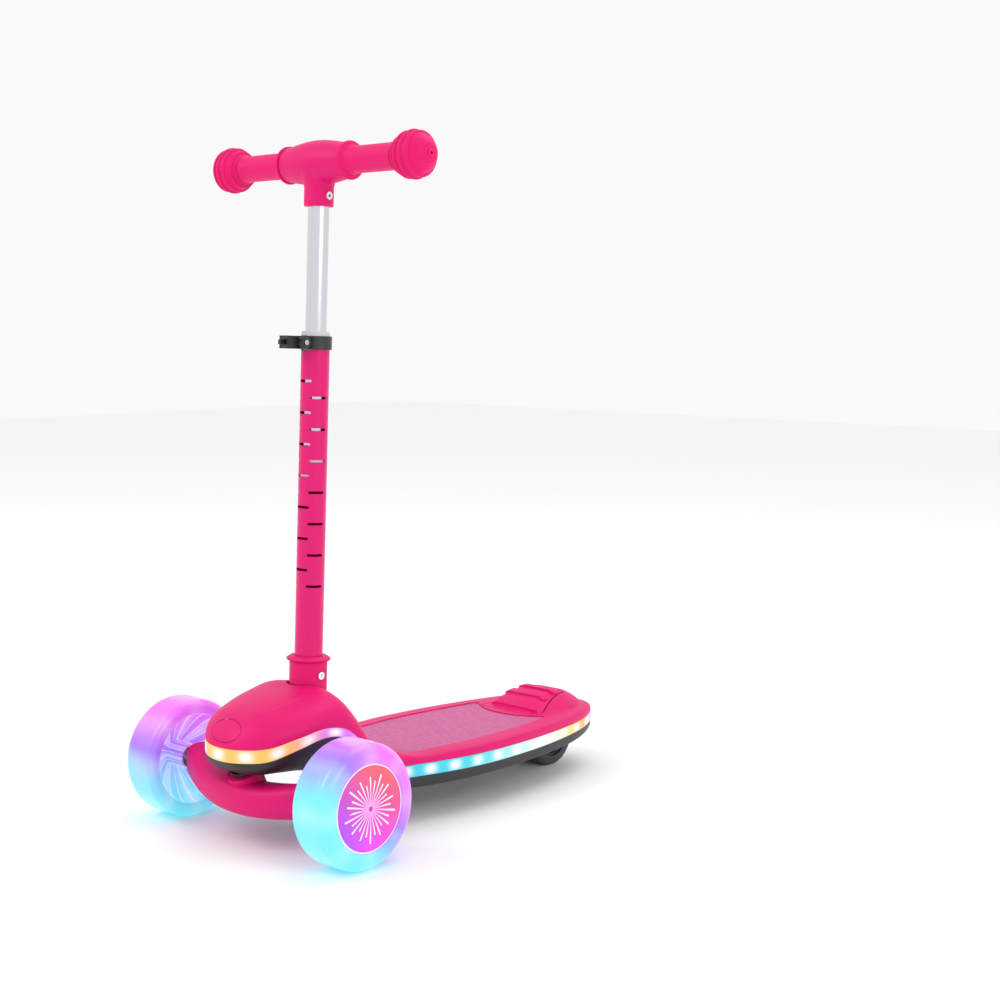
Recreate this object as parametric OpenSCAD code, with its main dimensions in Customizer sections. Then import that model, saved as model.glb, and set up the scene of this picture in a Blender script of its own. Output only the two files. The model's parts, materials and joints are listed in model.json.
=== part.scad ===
/* [Overall] */
// Handlebar axis height above the fold pivot, measured along the stem
bar_rise = 548; // [480:1:660]
// Full width over the grip ends
bar_w = 298.6; // [260:0.1:340]
// Widest part of the deck
deck_w = 167; // [140:1:190]
// From the front axle forward to the tip of the nose
nose_reach = 57; // [52:1:59]
// From the front axle back to the end of the tail
tail_reach = 478; // [440:1:560]
// Lean of the stem to the rear, in degrees
rake = 2; // [0:0.5:6]

/* [Wheels] */
// Front wheel diameter
wheel_d = 120; // [110:1:140]
// Front wheel width over the tread
wheel_w = 44.7; // [40:0.1:50]
// Clear distance between the two front wheels
wheel_gap = 207.2; // [190:0.1:230]
// Thickness of the front tyre at its inner side
tyre_t = 14; // [10:0.5:16]
// Hubcap diameter
cap_d = 83; // [70:1:88]
// Rear wheel diameter
rear_d = 70; // [64:1:76]
// Rear wheel width
rear_w = 44; // [36:1:46]
// Rear axle behind the front axle
rear_axle_y = 414.5; // [400:0.5:440]
// Axle bolt diameter
axle_d = 8; // [6:0.5:9]
// Outside diameter of the wheel bearings
bearing_d = 22; // [19:1:24]
// Width of a wheel bearing
bearing_w = 7; // [6:0.5:8]

/* [Deck] */
// Standing surface above the front axle
platform_rise = 8.2; // [4:0.1:20]
// Top of the dome above the front axle
dome_rise = 87.5; // [84:0.5:98]
// Light band at the nose, above the front axle
nose_rise = 34; // [30:1:38]
// Light band at its hump, above the front axle
hump_rise = 48.3; // [44:0.1:52]
// Light band along the side, below the front axle
side_drop = 6.6; // [4:0.1:9]
// Flat bottom of the deck below the front axle
keel_drop = 26; // [24:1:32]
// Height of the light band along the side
band_h = 12.6; // [10:0.1:14]
// Wall of the deck shells
shell_t = 2.6; // [2:0.1:3.4]
// Thickness of the grip film
mat_t = 1; // [0.6:0.1:1.6]

/* [Stem] */
// Lower tube outside diameter
lower_d = 28; // [26:0.5:30]
// Wall of both stem tubes
tube_t = 1.5; // [1.2:0.1:2]
// Upper tube outside diameter
upper_d = 20.7; // [18:0.1:22]
// Top of the lower tube above the fold pivot
lower_top = 381; // [340:1:420]
// Collar outside diameter
collar_d = 37.7; // [36:0.1:39]
// Collar flange diameter
flange_d = 44.4; // [42:0.1:46]
// Radius of the ribbed drum that turns in the dome
drum_r = 36; // [34:0.5:37]
// Distance the bar can drop from the drawn height
slide_down = 80; // [40:1:90]
// Distance the bar can rise from the drawn height
slide_up = 82; // [40:1:90]
// Length of a slot in the lower tube
slot_l = 15.8; // [10:0.1:20]
// Width of a slot in the lower tube
slot_w = 2.6; // [2:0.1:3.5]
// Spacing of the slots in a row
slot_pitch = 30.8; // [26:0.1:36]

/* [Clamp] */
// Height of the clamp ring
clamp_h = 13; // [10:0.5:16]
// Wall of the clamp ring
clamp_t = 2; // [1.6:0.1:3]
// Length of the clamp ears ahead of the stem axis
ear_reach = 44; // [36:1:48]
// Clamp bolt ahead of the stem axis
bolt_reach = 25; // [22:1:28]

/* [Handlebar] */
// Diameter of the handgrip
grip_d = 26; // [24:0.5:30]
// Diameter of the round grip end
ball_d = 43.6; // [38:0.2:48]
// Diameter of the steel bar inside the grips
bar_d = 20; // [18:0.5:21]
// Tee barrel diameter at the middle
tee_d = 43.4; // [40:0.2:46]
// Half length of the tee barrel
tee_half = 42; // [38:1:48]

/* [Clearances] */
// Radial clearance of a running or sliding fit
run_c = 0.05; // [0.02:0.01:0.1]
// Gap between parts that move past each other
gap = 0.8; // [0.4:0.1:1.2]

/* [Hidden] */
$fn = 64;

// Frame: the origin is the middle of the footprint on the floor, +Z is up and -Y is the front.
// Most modules work from the front axle's place on the floor and are shifted by at_base().
axle_z = wheel_d / 2;
centre_y = (tail_reach - wheel_d / 2) / 2;
axle_r = axle_d / 2 - run_c;

// Heights that follow the front axle
film_z = axle_z + platform_rise;
edge_z = film_z + 1.2;
nose_z = axle_z + nose_rise;
hump_z = axle_z + hump_rise;
side_z = axle_z - side_drop;
keel_z = axle_z - keel_drop;
dome_z = axle_z + dome_rise;

// Fold pivot
pivot_y = nose_reach - 0.2;
pivot_z = axle_z + 47.1;
pocket_hw = collar_d / 2 + 1.8;
pocket_r = drum_r + 3;
pocket_end = 56;
drum_hw = pocket_hw - gap - 0.2;
pin_r = 4;

// Parts along the stem, measured from the fold pivot
collar_z0 = 26;
flange_z = 63.4;
tube_z0 = 34;
sleeve_l = 34;
upper_z0 = lower_top - sleeve_l - slide_up - 18;
neck_z0 = bar_rise - 42;
clamp_z = lower_top - clamp_h / 2;
ring_r = lower_d / 2 + clamp_t;

// Rear wheel and brake
half_w = deck_w / 2;
tail_hump_y = rear_axle_y - 2.5;
tail_hump_h = 19;
pedal_y0 = tail_hump_y - 54;
pedal_y1 = tail_hump_y + 17;
brake_pin_y = pedal_y0 + 8;
brake_pin_z = film_z - 6;

// Button on the nose and the latch behind it
button_z = nose_z + 21;
latch_y = pivot_y - drum_r - 19;
latch_z = pivot_z - 9;

// Steering axis, leaning forward from the truck beam
steer_tilt = 25;
steer_y = -18;
steer_z = axle_z - 5;
beam_h = 28;
beam_z = axle_z - 13;
boss_r = 17;

// Front wheel stations along X
wheel_x0 = wheel_gap / 2;
wheel_x1 = wheel_x0 + wheel_w;
beam_x = wheel_x0 - 3;
dish_r = wheel_d / 2 - tyre_t;

// Stations along the deck: distance behind the front axle, half width, band height,
// top of the shell, bottom of the shell, height of the band and squareness of the section.
stations = [
    [-nose_reach, 0, nose_z, nose_z + 3, nose_z - 3, 13.3, 2.2],
    [-nose_reach + 6.5, half_w * 0.31, nose_z + 0.6, nose_z + 19, nose_z - 15, 13.2, 2.3],
    [-nose_reach + 24, half_w * 0.55, nose_z + 2.8, dome_z - 18, nose_z - 22, 12.9, 2.35],
    [-5, half_w * 0.69, nose_z + 11, dome_z - 9, nose_z - 25, 11, 2.3],
    [24, half_w * 0.76, hump_z + 3.2, dome_z - 3.5, nose_z - 28, 9.4, 2.4],
    [pivot_y - 8, half_w * 0.8, hump_z - 1.5, dome_z, nose_z - 35, 9.2, 2.5],
    [pivot_y + 13, half_w * 0.82, hump_z - 20, dome_z - 12, nose_z - 44, 10.2, 2],
    [pivot_y + 34, half_w * 0.825, side_z + 14, edge_z + 41, keel_z + 8, 11.4, 1.5],
    [pivot_y + 56, half_w * 0.815, side_z + 3.4, edge_z + 14.5, keel_z + 3, 12.2, 2.2],
    [pivot_y + 88, half_w * 0.865, side_z + 1.2, edge_z + 0.6, keel_z, band_h, 6.5],
    [195, half_w * 0.965, side_z + 0.4, edge_z, keel_z, band_h, 8],
    [245, half_w, side_z, edge_z, keel_z, band_h, 8],
    [315, half_w * 0.945, side_z - 0.4, edge_z, keel_z, band_h - 0.6, 8],
    [375, half_w * 0.84, side_z - 0.2, edge_z, keel_z, band_h - 1.5, 7],
    [tail_reach - 58, half_w * 0.71, side_z + 0.6, edge_z, keel_z + 2, band_h - 2, 6],
    [tail_reach - 24, half_w * 0.52, side_z + 2, edge_z - 0.4, keel_z + 6, band_h - 2, 5],
    [tail_reach - 7, half_w * 0.29, side_z + 2.4, edge_z - 3, keel_z + 12, band_h - 2, 4],
    [tail_reach, 0, side_z + 2.4, side_z + 9, side_z - 5, band_h - 2, 3]];
last = len(stations) - 1;
steps = 3;
arc_n = 20;

// Smooth curve through the stations, mirrored across the ends so that nose and tail are round
function mirrored(a, b) = [2 * a[0] - b[0] + 2 * (b[0] - a[0]), -b[1], b[2], b[3], b[4], b[5], b[6]];
function station(i) = i < 0 ? mirrored(stations[0], stations[1])
    : i > last ? mirrored(stations[last], stations[last - 1]) : stations[i];
function blend(a, b, c, d, t) = 0.5 * (2 * b + (c - a) * t + (2 * a - 5 * b + 4 * c - d) * t * t
    + (3 * b - a - 3 * c + d) * t * t * t);
function along(u) = let (i = min(floor(u), last - 1), t = u - i)
    blend(station(i - 1), station(i), station(i + 1), station(i + 2), t);
function inward(u, c) = let (e = 0.04, a = along(max(u - e, 0.001)), b = along(min(u + e, last - 0.001)),
    dy = b[0] - a[0], dw = b[1] - a[1], n = max(norm([dy, dw]), 0.001)) [c * dw / n, -c * dy / n];

// The tail hump over the rear wheel
function tail_hump(x, y) = let (q = pow(x / 45, 2) + pow((y - tail_hump_y) / 54, 2))
    q < 1 ? tail_hump_h * pow(1 - q, 0.85) : 0;

// Points across one shell section. side is 1 for the top shell and -1 for the base.
function root(v, p) = sign(v) * pow(abs(v), 2 / p);
function section(u, c, side) = let (s = along(u), o = inward(u, c),
        y = s[0] + o[0], w = max(s[1] + o[1], 0.4), z0 = s[2] + side * s[5] / 2,
        crown = side > 0 ? max(s[3] - c, z0 + 0.5) : min(s[4] + c, z0 - 0.5))
    [for (j = [0:arc_n]) let (a = 180 * j / arc_n, x = w * root(cos(a), s[6]))
        [x, y, z0 + (crown - z0) * root(sin(a), s[6]) + (side > 0 ? tail_hump(x, y) : 0)]];
us = [for (k = [0:last * steps]) max(0.12, min(last - 0.12, k / steps))];
nose_us = [for (u = us) if (u < 4) u];
tail_us = [for (u = us) if (u > 11.5 && u < 16.5) u];

// Closed shell between an outer and an inner skin, over the stations listed in rows
module skin(side, c0, c1, rows = us) {
    m = arc_n + 1;
    n = len(rows);
    pts = [for (c = [c0, c1]) for (u = rows) each section(u, c, side)];
    in0 = n * m;
    faces = [
        for (i = [0:n - 2]) for (j = [0:arc_n - 1]) let (a = i * m + j) each
            [[a, a + m, a + m + 1], [a, a + m + 1, a + 1],
             [in0 + a, in0 + a + m + 1, in0 + a + m], [in0 + a, in0 + a + 1, in0 + a + m + 1]],
        for (i = [0:n - 2]) let (a = i * m, b = i * m + arc_n) each
            [[a, in0 + a + m, a + m], [a, in0 + a, in0 + a + m],
             [b, b + m, in0 + b + m], [b, in0 + b + m, in0 + b]],
        for (j = [0:arc_n - 1]) let (b = (n - 1) * m + j) each
            [[j, j + 1, in0 + j + 1], [j, in0 + j + 1, in0 + j],
             [b, in0 + b + 1, b + 1], [b, in0 + b, in0 + b + 1]]];
    polyhedron(pts, side > 0 ? [for (f = faces) [f[0], f[2], f[1]]] : faces, convexity = 10);
}

// Closed loop around the deck at the band: proud and depth are measured inward from the outline
module loop(c0, c1, low, high) {
    ring = [for (k = us) [k, 1], for (k = [len(us) - 1:-1:0]) [us[k], -1]];
    n = len(ring);
    pts = [for (r = ring) let (s = along(r[0]), o0 = inward(r[0], c0), o1 = inward(r[0], c1),
            zb = s[2] + low * s[5] / 2, zt = s[2] + high * s[5] / 2) each
        [[r[1] * max(s[1] + o0[1], 0.6), s[0] + o0[0], zb],
         [r[1] * max(s[1] + o0[1], 0.6), s[0] + o0[0], zt],
         [r[1] * max(s[1] + o1[1], 0.4), s[0] + o1[0], zt],
         [r[1] * max(s[1] + o1[1], 0.4), s[0] + o1[0], zb]]];
    faces = [for (i = [0:n - 1]) for (k = [0:3]) let (a = 4 * i + k, b = 4 * i + (k + 1) % 4,
            c = 4 * ((i + 1) % n) + (k + 1) % 4, d = 4 * ((i + 1) % n) + k) each
        [[a, b, c], [a, c, d]]];
    polyhedron(pts, faces, convexity = 10);
}

// Placement helpers
module at_base() { translate([0, -centre_y, 0]) children(); }
module on_stem() { at_base() translate([0, pivot_y, pivot_z]) rotate([-rake, 0, 0]) children(); }
module on_steer() { at_base() translate([0, steer_y, steer_z]) rotate([steer_tilt, 0, 0]) children(); }
module on_wheel(side) { at_base() translate([0, 0, axle_z]) mirror([side < 0 ? 1 : 0, 0, 0]) children(); }
module on_rear() { at_base() translate([0, rear_axle_y, rear_d / 2]) children(); }
module rod(r, x0, x1) { translate([x0, 0, 0]) rotate([0, 90, 0]) cylinder(r = r, h = x1 - x0); }
module pipe(r, bore, x0, x1) {
    difference() {
        rod(r, x0, x1);
        rod(bore, x0 - 1, x1 + 1);
    }
}
module turned(profile) { rotate([0, 90, 0]) rotate_extrude() polygon(profile); }
module block(x0, x1, y0, y1, z0, z1) { translate([x0, y0, z0]) cube([x1 - x0, y1 - y0, z1 - z0]); }
module slab_x(hw, outline) {
    translate([-hw, 0, 0]) rotate([90, 0, 90]) linear_extrude(2 * hw) polygon(outline);
}
function arc(cx, cy, r, a0, a1, n) = [for (k = [0:n]) let (a = a0 + (a1 - a0) * k / n)
    [cx + r * cos(a), cy + r * sin(a)]];

// Outline of the brake pedal seen from above, grown by c
function pedal_plan(c) = [[-37 - c, pedal_y0 - c], [37 + c, pedal_y0 - c], [37 + c, pedal_y0 + 16],
    [22 + c, pedal_y1 + 1.4 * c], [-22 - c, pedal_y1 + 1.4 * c], [-37 - c, pedal_y0 + 16]];
// Outline of the nose button seen from the front
function button_plan(c) = [for (k = [0:35]) [(19.5 + c) * cos(10 * k), (9.5 + c) * sin(10 * k)]];
// Outline of the grip film: straight-cut front, sides that follow the deck, arc behind
film_y0 = pivot_y + 70;
film_arc_r = 67;
function film_half(c) = concat([[40, film_y0 - c], [46 + c, film_y0 + 4 - c / 2]],
    [for (u = [9:0.5:12.9]) let (s = along(u)) [s[1] - 21 + c, s[0]]],
    [for (a = [52:-8:0]) [(film_arc_r - c) * sin(a), tail_hump_y - (film_arc_r - c) * cos(a)]]);
function film_plan(c) = let (h = film_half(c), n = len(h))
    concat(h, [for (k = [n - 2:-1:0]) [-h[k][0], h[k][1]]]);

module plan_cut(outline, z0, z1) { translate([0, 0, z0]) linear_extrude(z1 - z0) polygon(outline); }

// Deck
module pocket_cut() {
    translate([0, pivot_y, axle_z + 6.5]) cylinder(r = pocket_hw, h = 100);
    block(-pocket_hw, pocket_hw, pivot_y, pivot_y + pocket_end, axle_z + 6.5, dome_z + 20);
    translate([0, pivot_y, pivot_z]) rod(drum_r + gap, -pocket_hw, pocket_hw);
}
module deck_top() {
    color("deeppink") at_base() difference() {
        union() {
            skin(1, 0, shell_t);
            plan_cut(film_plan(4), film_z - mat_t - shell_t, film_z - mat_t);
            for (x = [-1, 1], y = screw_ys) translate([screw_x * x, y, keel_z + 2.9])
                cylinder(r = 4.5, h = film_z - mat_t - 1 - keel_z - 2.9);
            for (x = [-44, 39])
                block(x, x + 5, brake_pin_y - 5, brake_pin_y + 5, brake_pin_z - 5, edge_z - shell_t + 0.3);
        }
        pocket_cut();
        for (x = [-1, 1], y = screw_ys) translate([screw_x * x, y, keel_z])
            cylinder(r = 1.8, h = film_z - mat_t - 1.5 - keel_z);
        translate([0, brake_pin_y, brake_pin_z]) rod(2.5, -60, 60);
        plan_cut(film_plan(0), film_z - mat_t, film_z + 20);
        plan_cut(pedal_plan(gap + 0.4), film_z - 20, film_z + 60);
        translate([0, -20, button_z]) rotate([90, 0, 0]) linear_extrude(60) polygon(button_plan(gap));
    }
}
base_ear_x = rear_w / 2 + 2;
screw_x = 46;
screw_ys = [155, 237, 335];
module deck_base() {
    color("dimgray") at_base() {
        difference() {
            skin(-1, 0, shell_t);
            block(-base_ear_x - 3, base_ear_x + 3, rear_axle_y - rear_d / 2 - 4, rear_axle_y + rear_d / 2 + 4,
                keel_z - 5, side_z - 8);
            block(-base_ear_x - 14, base_ear_x + 14, rear_axle_y - 10, rear_axle_y + 10,
                keel_z - 5, side_z - 8);
            block(-26, 26, 216, 284, keel_z - 1, keel_z + shell_t + 1);
            translate([0, 305, keel_z - 1]) cylinder(r = 5.4, h = 10);
            for (x = [-1, 1], y = screw_ys) translate([screw_x * x, y, keel_z - 1]) cylinder(r = 5, h = 10);
            translate([0, steer_y, steer_z]) rotate([steer_tilt, 0, 0]) cylinder(r = boss_r + 1.2, h = 32);
        }
        difference() {
            for (side = [-1, 1]) rear_ear(side);
            translate([0, rear_axle_y, rear_d / 2]) rod(axle_r, -50, 50);
        }
    }
}
module rear_ear(side) {
    x0 = side > 0 ? base_ear_x : -base_ear_x - 6;
    translate([x0, 0, 0]) rotate([90, 0, 90]) linear_extrude(6) {
        translate([rear_axle_y, rear_d / 2]) circle(r = 13);
        polygon([[rear_axle_y - 34, side_z - 10], [rear_axle_y - 24, keel_z + 1],
            [rear_axle_y - 12, rear_d / 2 - 5], [rear_axle_y + 12, rear_d / 2 - 5],
            [rear_axle_y + 22, keel_z + 8], [rear_axle_y + 24, side_z - 10]]);
    }
}
module light_band() { color("white") at_base() loop(-0.5, shell_t - 0.2, -0.985, 0.985); }
module led_strip() { color("ivory") at_base() loop(shell_t + 1.2, shell_t + 2.2, -0.5, 0.5); }
module grip_film() { color("hotpink") at_base() plan_cut(film_plan(0), film_z - mat_t, film_z); }

module fold_cradle() {
    front = -pocket_r - 3.2;
    outline = concat(arc(0, 0, -front, 180, 270, 8),
        [[pocket_end + 1, front], [pocket_end + 1, -32], [47, -21], [33, -5], [18, 10], [0, 21],
         [-27, 24], [front, 14]]);
    inner = concat(arc(0, 0, pocket_r, 180, 285, 10), [[pocket_end - 3, -34], [pocket_end - 3, 60],
        [-pocket_r, 60]]);
    color("deeppink") at_base() translate([0, pivot_y, pivot_z]) difference() {
        union() {
            slab_x(pocket_hw + 4, outline);
            for (x = [-11.2, 8.2])
                block(x, x + 3, front - 29, front + 0.5, latch_z - pivot_z - 4, button_z - pivot_z + 7);
            block(-11.2, 11.2, front - 29, front - 26, button_z - pivot_z - 8, button_z - pivot_z + 7);
        }
        slab_x(pocket_hw, inner);
        rod(pin_r, -60, 60);
        block(-7.6, 7.6, front - 1, front + 6, latch_z - pivot_z - 19, latch_z - pivot_z - 3);
        translate([0, front - 30, button_z - pivot_z]) rotate([-90, 0, 0]) cylinder(r = 3 + run_c, h = 10);
        translate([0, latch_y - pivot_y, latch_z - pivot_z]) rod(2, -20, 20);
    }
}
module fold_pin() {
    color("silver") at_base() translate([0, pivot_y, pivot_z]) {
        rod(pin_r, -pocket_hw - 5.6, pocket_hw + 5.6);
        for (s = [-1, 1]) rod_head(s, pocket_hw + 4, 2.4, 6.4);
    }
}
module rod_head(side, x, t, r) { rod(r, side > 0 ? x : -x - t, side > 0 ? x + t : -x); }
module latch_pin() { color("silver") at_base() translate([0, latch_y, latch_z]) rod(2, -12.4, 12.4); }

boss_h = beam_h / 2 + 5;
module steer_pad() {
    color("black") on_steer() difference() {
        translate([0, 0, boss_h + 0.3]) cylinder(r = 12, h = 3.7);
        cylinder(r = 5.2, h = 60);
    }
}
module steer_bracket() {
    color("dimgray") at_base() translate([0, steer_y, steer_z]) difference() {
        union() {
            slab_x(23, [[-23, 28], [-18, 27], [-2, 27], [12.6, 31.5], [12.6, 38.3], [2.4, 38.3], [2.4, 45],
                [-23, 33.5]]);
            for (x = [-23, 19.5]) block(x, x + 3.5, -10, 12.6, 24, 34);
        }
        rotate([steer_tilt, 0, 0]) cylinder(r = 5, h = 80);
    }
}
module kingpin() {
    color("silver") on_steer() {
        translate([0, 0, -beam_h / 2 - 7]) cylinder(r = 8, h = 5, $fn = 6);
        translate([0, 0, -beam_h / 2 - 2.01]) cylinder(r = 5, h = beam_h + 36);
    }
}
module kingpin_nut() {
    color("silver") on_steer() translate([0, 0, 40.1]) difference() {
        cylinder(r = 8.5, h = 7, $fn = 6);
        translate([0, 0, -1]) cylinder(r = 5, h = 9);
    }
}

module battery_holder() {
    color("dimgray") at_base() difference() {
        block(-28, 28, 213, 287, keel_z + shell_t + 0.2, keel_z + 19);
        block(-24.6, 24.6, 217, 283, keel_z, keel_z + 17);
    }
}
module batteries() {
    color("silver") at_base() for (k = [-1:1])
        translate([-22.3, 250 + 15 * k, keel_z + 9.8]) rod(5.2, 0, 44.5);
}
module battery_cover() {
    color("dimgray") at_base() {
        block(-25.4, 25.4, 216.6, 283.4, keel_z + 0.2, keel_z + 2.4);
        block(-23, 23, 219, 281, keel_z + 2.4, keel_z + 4);
    }
}
module control_board() { color("darkgreen") at_base() block(-20, 20, 318, 352, keel_z + 6, keel_z + 7.6); }
module light_button() {
    color("gray") at_base() translate([0, 305, keel_z - 0.8]) {
        cylinder(r = 4.8, h = 5.3);
        translate([0, 0, 3.7]) cylinder(r = 6.6, h = 1.6);
    }
}

module rear_axle() { color("silver") on_rear() rod(axle_r, -base_ear_x - 11, base_ear_x + 11); }
module rear_axle_nuts() {
    color("silver") on_rear() for (s = [-1, 1]) difference() {
        rod_head(s, base_ear_x + 6, 6, 6.6);
        rod(axle_r, -60, 60);
    }
}
module brake_pin() { color("silver") at_base() translate([0, brake_pin_y, brake_pin_z]) rod(2.5, -44, 44); }
module deck_screws() {
    color("silver") at_base() for (x = [-1, 1], y = screw_ys) translate([screw_x * x, y, keel_z + 0.4]) {
        cylinder(r = 3.4, h = 2.5);
        cylinder(r = 1.8, h = film_z - mat_t - keel_z - 4);
    }
}

// Steering truck and front wheels
beam_n = 24;
function beam_mid(x) = -24 * pow(1 - pow(x / beam_x, 2), 1.1);
function beam_section(x) = let (t = pow(abs(x) / beam_x, 2), a = 21 - 5 * t, b = 16 + 1.5 * t,
        zc = beam_z + (axle_z - beam_z) * t)
    [for (k = [0:19]) [x, beam_mid(x) + a * root(cos(18 * k), 3), zc + b * root(sin(18 * k), 3)]];
module truck_beam() {
    xs = [for (k = [0:beam_n]) beam_x * (2 * k / beam_n - 1)];
    pts = [for (x = xs) each beam_section(x)];
    faces = [for (i = [0:beam_n - 1]) for (k = [0:19]) let (a = 20 * i + k, b = 20 * i + (k + 1) % 20) each
            [[a, b + 20, b], [a, a + 20, b + 20]],
        [for (k = [0:19]) k], [for (k = [19:-1:0]) 20 * beam_n + k]];
    color("deeppink") difference() {
        union() {
            at_base() polyhedron(pts, faces, convexity = 6);
            on_steer() translate([0, 0, -6]) cylinder(r = boss_r, h = boss_h + 6);
        }
        on_steer() translate([0, 0, -60]) cylinder(r = 5 + run_c, h = 120);
        on_steer() translate([0, 0, -beam_h / 2 - 30]) cylinder(r = 11, h = 28.5);
        for (s = [-1, 1]) on_wheel(s) rod(axle_r, beam_x - 26, beam_x + 1);
    }
}
bearing_x0 = wheel_x0 + 9.4;
bearing_x1 = bearing_x0 + 18;
module axle_bolts() {
    color("silver") for (s = [-1, 1]) on_wheel(s) {
        rod(axle_r, beam_x - 25, bearing_x1 + bearing_w + 4);
        rod(6.4, bearing_x1 + bearing_w + 0.4, bearing_x1 + bearing_w + 4.6);
    }
}
module axle_spacers() {
    color("silver") for (s = [-1, 1]) on_wheel(s) pipe(7, axle_r, beam_x, bearing_x0 - 0.3);
}
module axle_magnets() {
    color("dimgray") for (s = [-1, 1]) on_wheel(s)
        pipe(8, axle_r, bearing_x0 + bearing_w + 1, bearing_x1 - 1);
}
module tyre(side) {
    r = wheel_d / 2;
    color("white") on_wheel(side) turned(concat(
        [[dish_r, wheel_x0 + 2.5], [r - 7, wheel_x0]],
        [for (k = [1:6]) [r - 7 + 7 * sin(15 * k), wheel_x0 + 7 * (1 - cos(15 * k))]],
        [for (k = [0:6]) [r - 9 + 9 * cos(15 * k), wheel_x1 - 9 + 9 * sin(15 * k)]],
        [[cap_d / 2 + 1.4, wheel_x1 - 0.6], [cap_d / 2 + 0.4, wheel_x1 - 2.6], [dish_r, wheel_x1 - 5]]));
}
module hub(side) {
    tube_r = bearing_d / 2 + 3;
    color("whitesmoke") on_wheel(side) {
        turned([[bearing_d / 2, bearing_x0], [tube_r, bearing_x0], [tube_r, wheel_x1 - 11],
            [dish_r - 2.4, wheel_x1 - 11], [dish_r - 2.4, wheel_x0 + 3], [dish_r, wheel_x0 + 3],
            [dish_r, wheel_x1 - 5.4], [dish_r - 3.4, wheel_x1 - 5.4], [dish_r - 3.4, wheel_x1 - 8.6],
            [bearing_d / 2, wheel_x1 - 8.6]]);
        for (k = [0:9]) rotate([36 * k, 0, 0])
            block(wheel_x0 + 14, wheel_x1 - 10.8, -0.9, 0.9, tube_r - 0.3, dish_r - 2.2);
    }
}
module hubcap(side) {
    r = cap_d / 2;
    color("deeppink") on_wheel(side) turned([[0, wheel_x1 - 1.6], [r - 1.2, wheel_x1 - 3.6],
        [r - 1.2, wheel_x1 - 8.6], [r, wheel_x1 - 8.6], [r, wheel_x1 - 1.8], [r - 3, wheel_x1 - 1],
        [0, wheel_x1 - 0.1]]);
}
module bearings(side) {
    color("silver") on_wheel(side) for (x = [bearing_x0, bearing_x1])
        pipe(bearing_d / 2, axle_d / 2, x, x + bearing_w);
}
module led_ring(side) {
    color("darkgreen") on_wheel(side) {
        pipe(dish_r - 6, 16.5, wheel_x1 - 8.4, wheel_x1 - 7);
        for (k = [0:7]) rotate([45 * k, 0, 0]) block(wheel_x1 - 7.2, wheel_x1 - 5.8, -2.5, 2.5, 30, 35);
    }
}

// Rear wheel and brake
rear_hub_r = rear_d / 2 - 11;
module rear_tyre() {
    r = rear_d / 2;
    w = rear_w / 2;
    half = concat([[rear_hub_r, w - 1.5]],
        [for (k = [0:5]) [r - 5 + 5 * sin(18 * k), w - 5 * (1 - cos(18 * k))]]);
    other = [for (k = [len(half) - 1:-1:0]) [half[k][0], -half[k][1]]];
    color("dimgray") on_rear() turned(concat(half, other));
}
module rear_hub() {
    w = rear_w / 2;
    half = [[bearing_d / 2, w - 3], [bearing_d / 2 + 3, w - 3], [bearing_d / 2 + 3, 6], [rear_hub_r - 3, 6],
        [rear_hub_r - 3, w - 2], [rear_hub_r, w - 2]];
    color("black") on_rear() turned(concat(half, [for (k = [len(half) - 1:-1:0]) [half[k][0], -half[k][1]]]));
}
module rear_bearings() {
    color("silver") on_rear() for (x = [-rear_w / 2 + 3, rear_w / 2 - 3 - bearing_w])
        pipe(bearing_d / 2, axle_d / 2, x, x + bearing_w);
}
module brake_pedal() {
    color("deeppink") at_base() difference() {
        union() {
            intersection() {
                skin(1, 0, 3.6, tail_us);
                plan_cut(pedal_plan(0), film_z - 12, film_z + 60);
            }
            for (s = [-1, 1])
                block(27 * s - 3, 27 * s + 3, pedal_y0 + 2, pedal_y0 + 15, brake_pin_z - 5, film_z + 1);
            intersection() {
                skin(1, -2.4, 1, tail_us);
                for (k = [0:2]) pedal_rib(pedal_y0 + 14 + 20 * k, 32 - 2.6 * k);
            }
        }
        translate([0, brake_pin_y, brake_pin_z]) rod(2.5 + run_c, -60, 60);
    }
}
module pedal_rib(y, hw) {
    translate([0, 0, film_z - 4]) {
        block(-hw + 3.5, hw - 3.5, y - 3.5, y + 3.5, 0, 40);
        for (s = [-1, 1]) translate([s * (hw - 3.5), y, 0]) cylinder(r = 3.5, h = 40);
    }
}
module brake_pad() {
    z1 = edge_z + tail_hump(10, rear_axle_y - 12) - 5.5;
    color("black") at_base() block(-10, 10, rear_axle_y - 12, rear_axle_y + 8, rear_d + 3, z1);
}

// Fold button and latch
module fold_button() {
    color("deeppink") at_base() {
        intersection() {
            skin(1, 0, 3.4, nose_us);
            translate([0, -20, button_z]) rotate([90, 0, 0]) linear_extrude(60) polygon(button_plan(0));
        }
        translate([0, latch_y - 3 - gap, button_z]) rotate([90, 0, 0])
            cylinder(r = 3, h = latch_y + nose_reach - 13.3);
    }
}
module button_spring() {
    y0 = pivot_y - pocket_r - 32.2;
    color("silver") at_base() translate([0, y0, button_z]) rotate([90, 0, 0]) difference() {
        cylinder(r = 4.8, h = 20);
        translate([0, 0, -1]) cylinder(r = 3.6, h = 22);
    }
}
module fold_latch() {
    up = button_z - latch_z;
    tip = pivot_y - drum_r - latch_y - 0.8;
    color("black") at_base() translate([0, latch_y, latch_z]) difference() {
        union() {
            rod(4.5, -6.6, 6.6);
            slab_x(6.6, [[-3, 0], [-3, up + 4], [2.4, up + 4], [3, 0]]);
            slab_x(6.6, [[-3, 0], [-2.5, -13], [tip, -13], [tip, -7], [5, -7], [3, 0]]);
        }
        rod(2 + run_c, -20, 20);
    }
}

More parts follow.
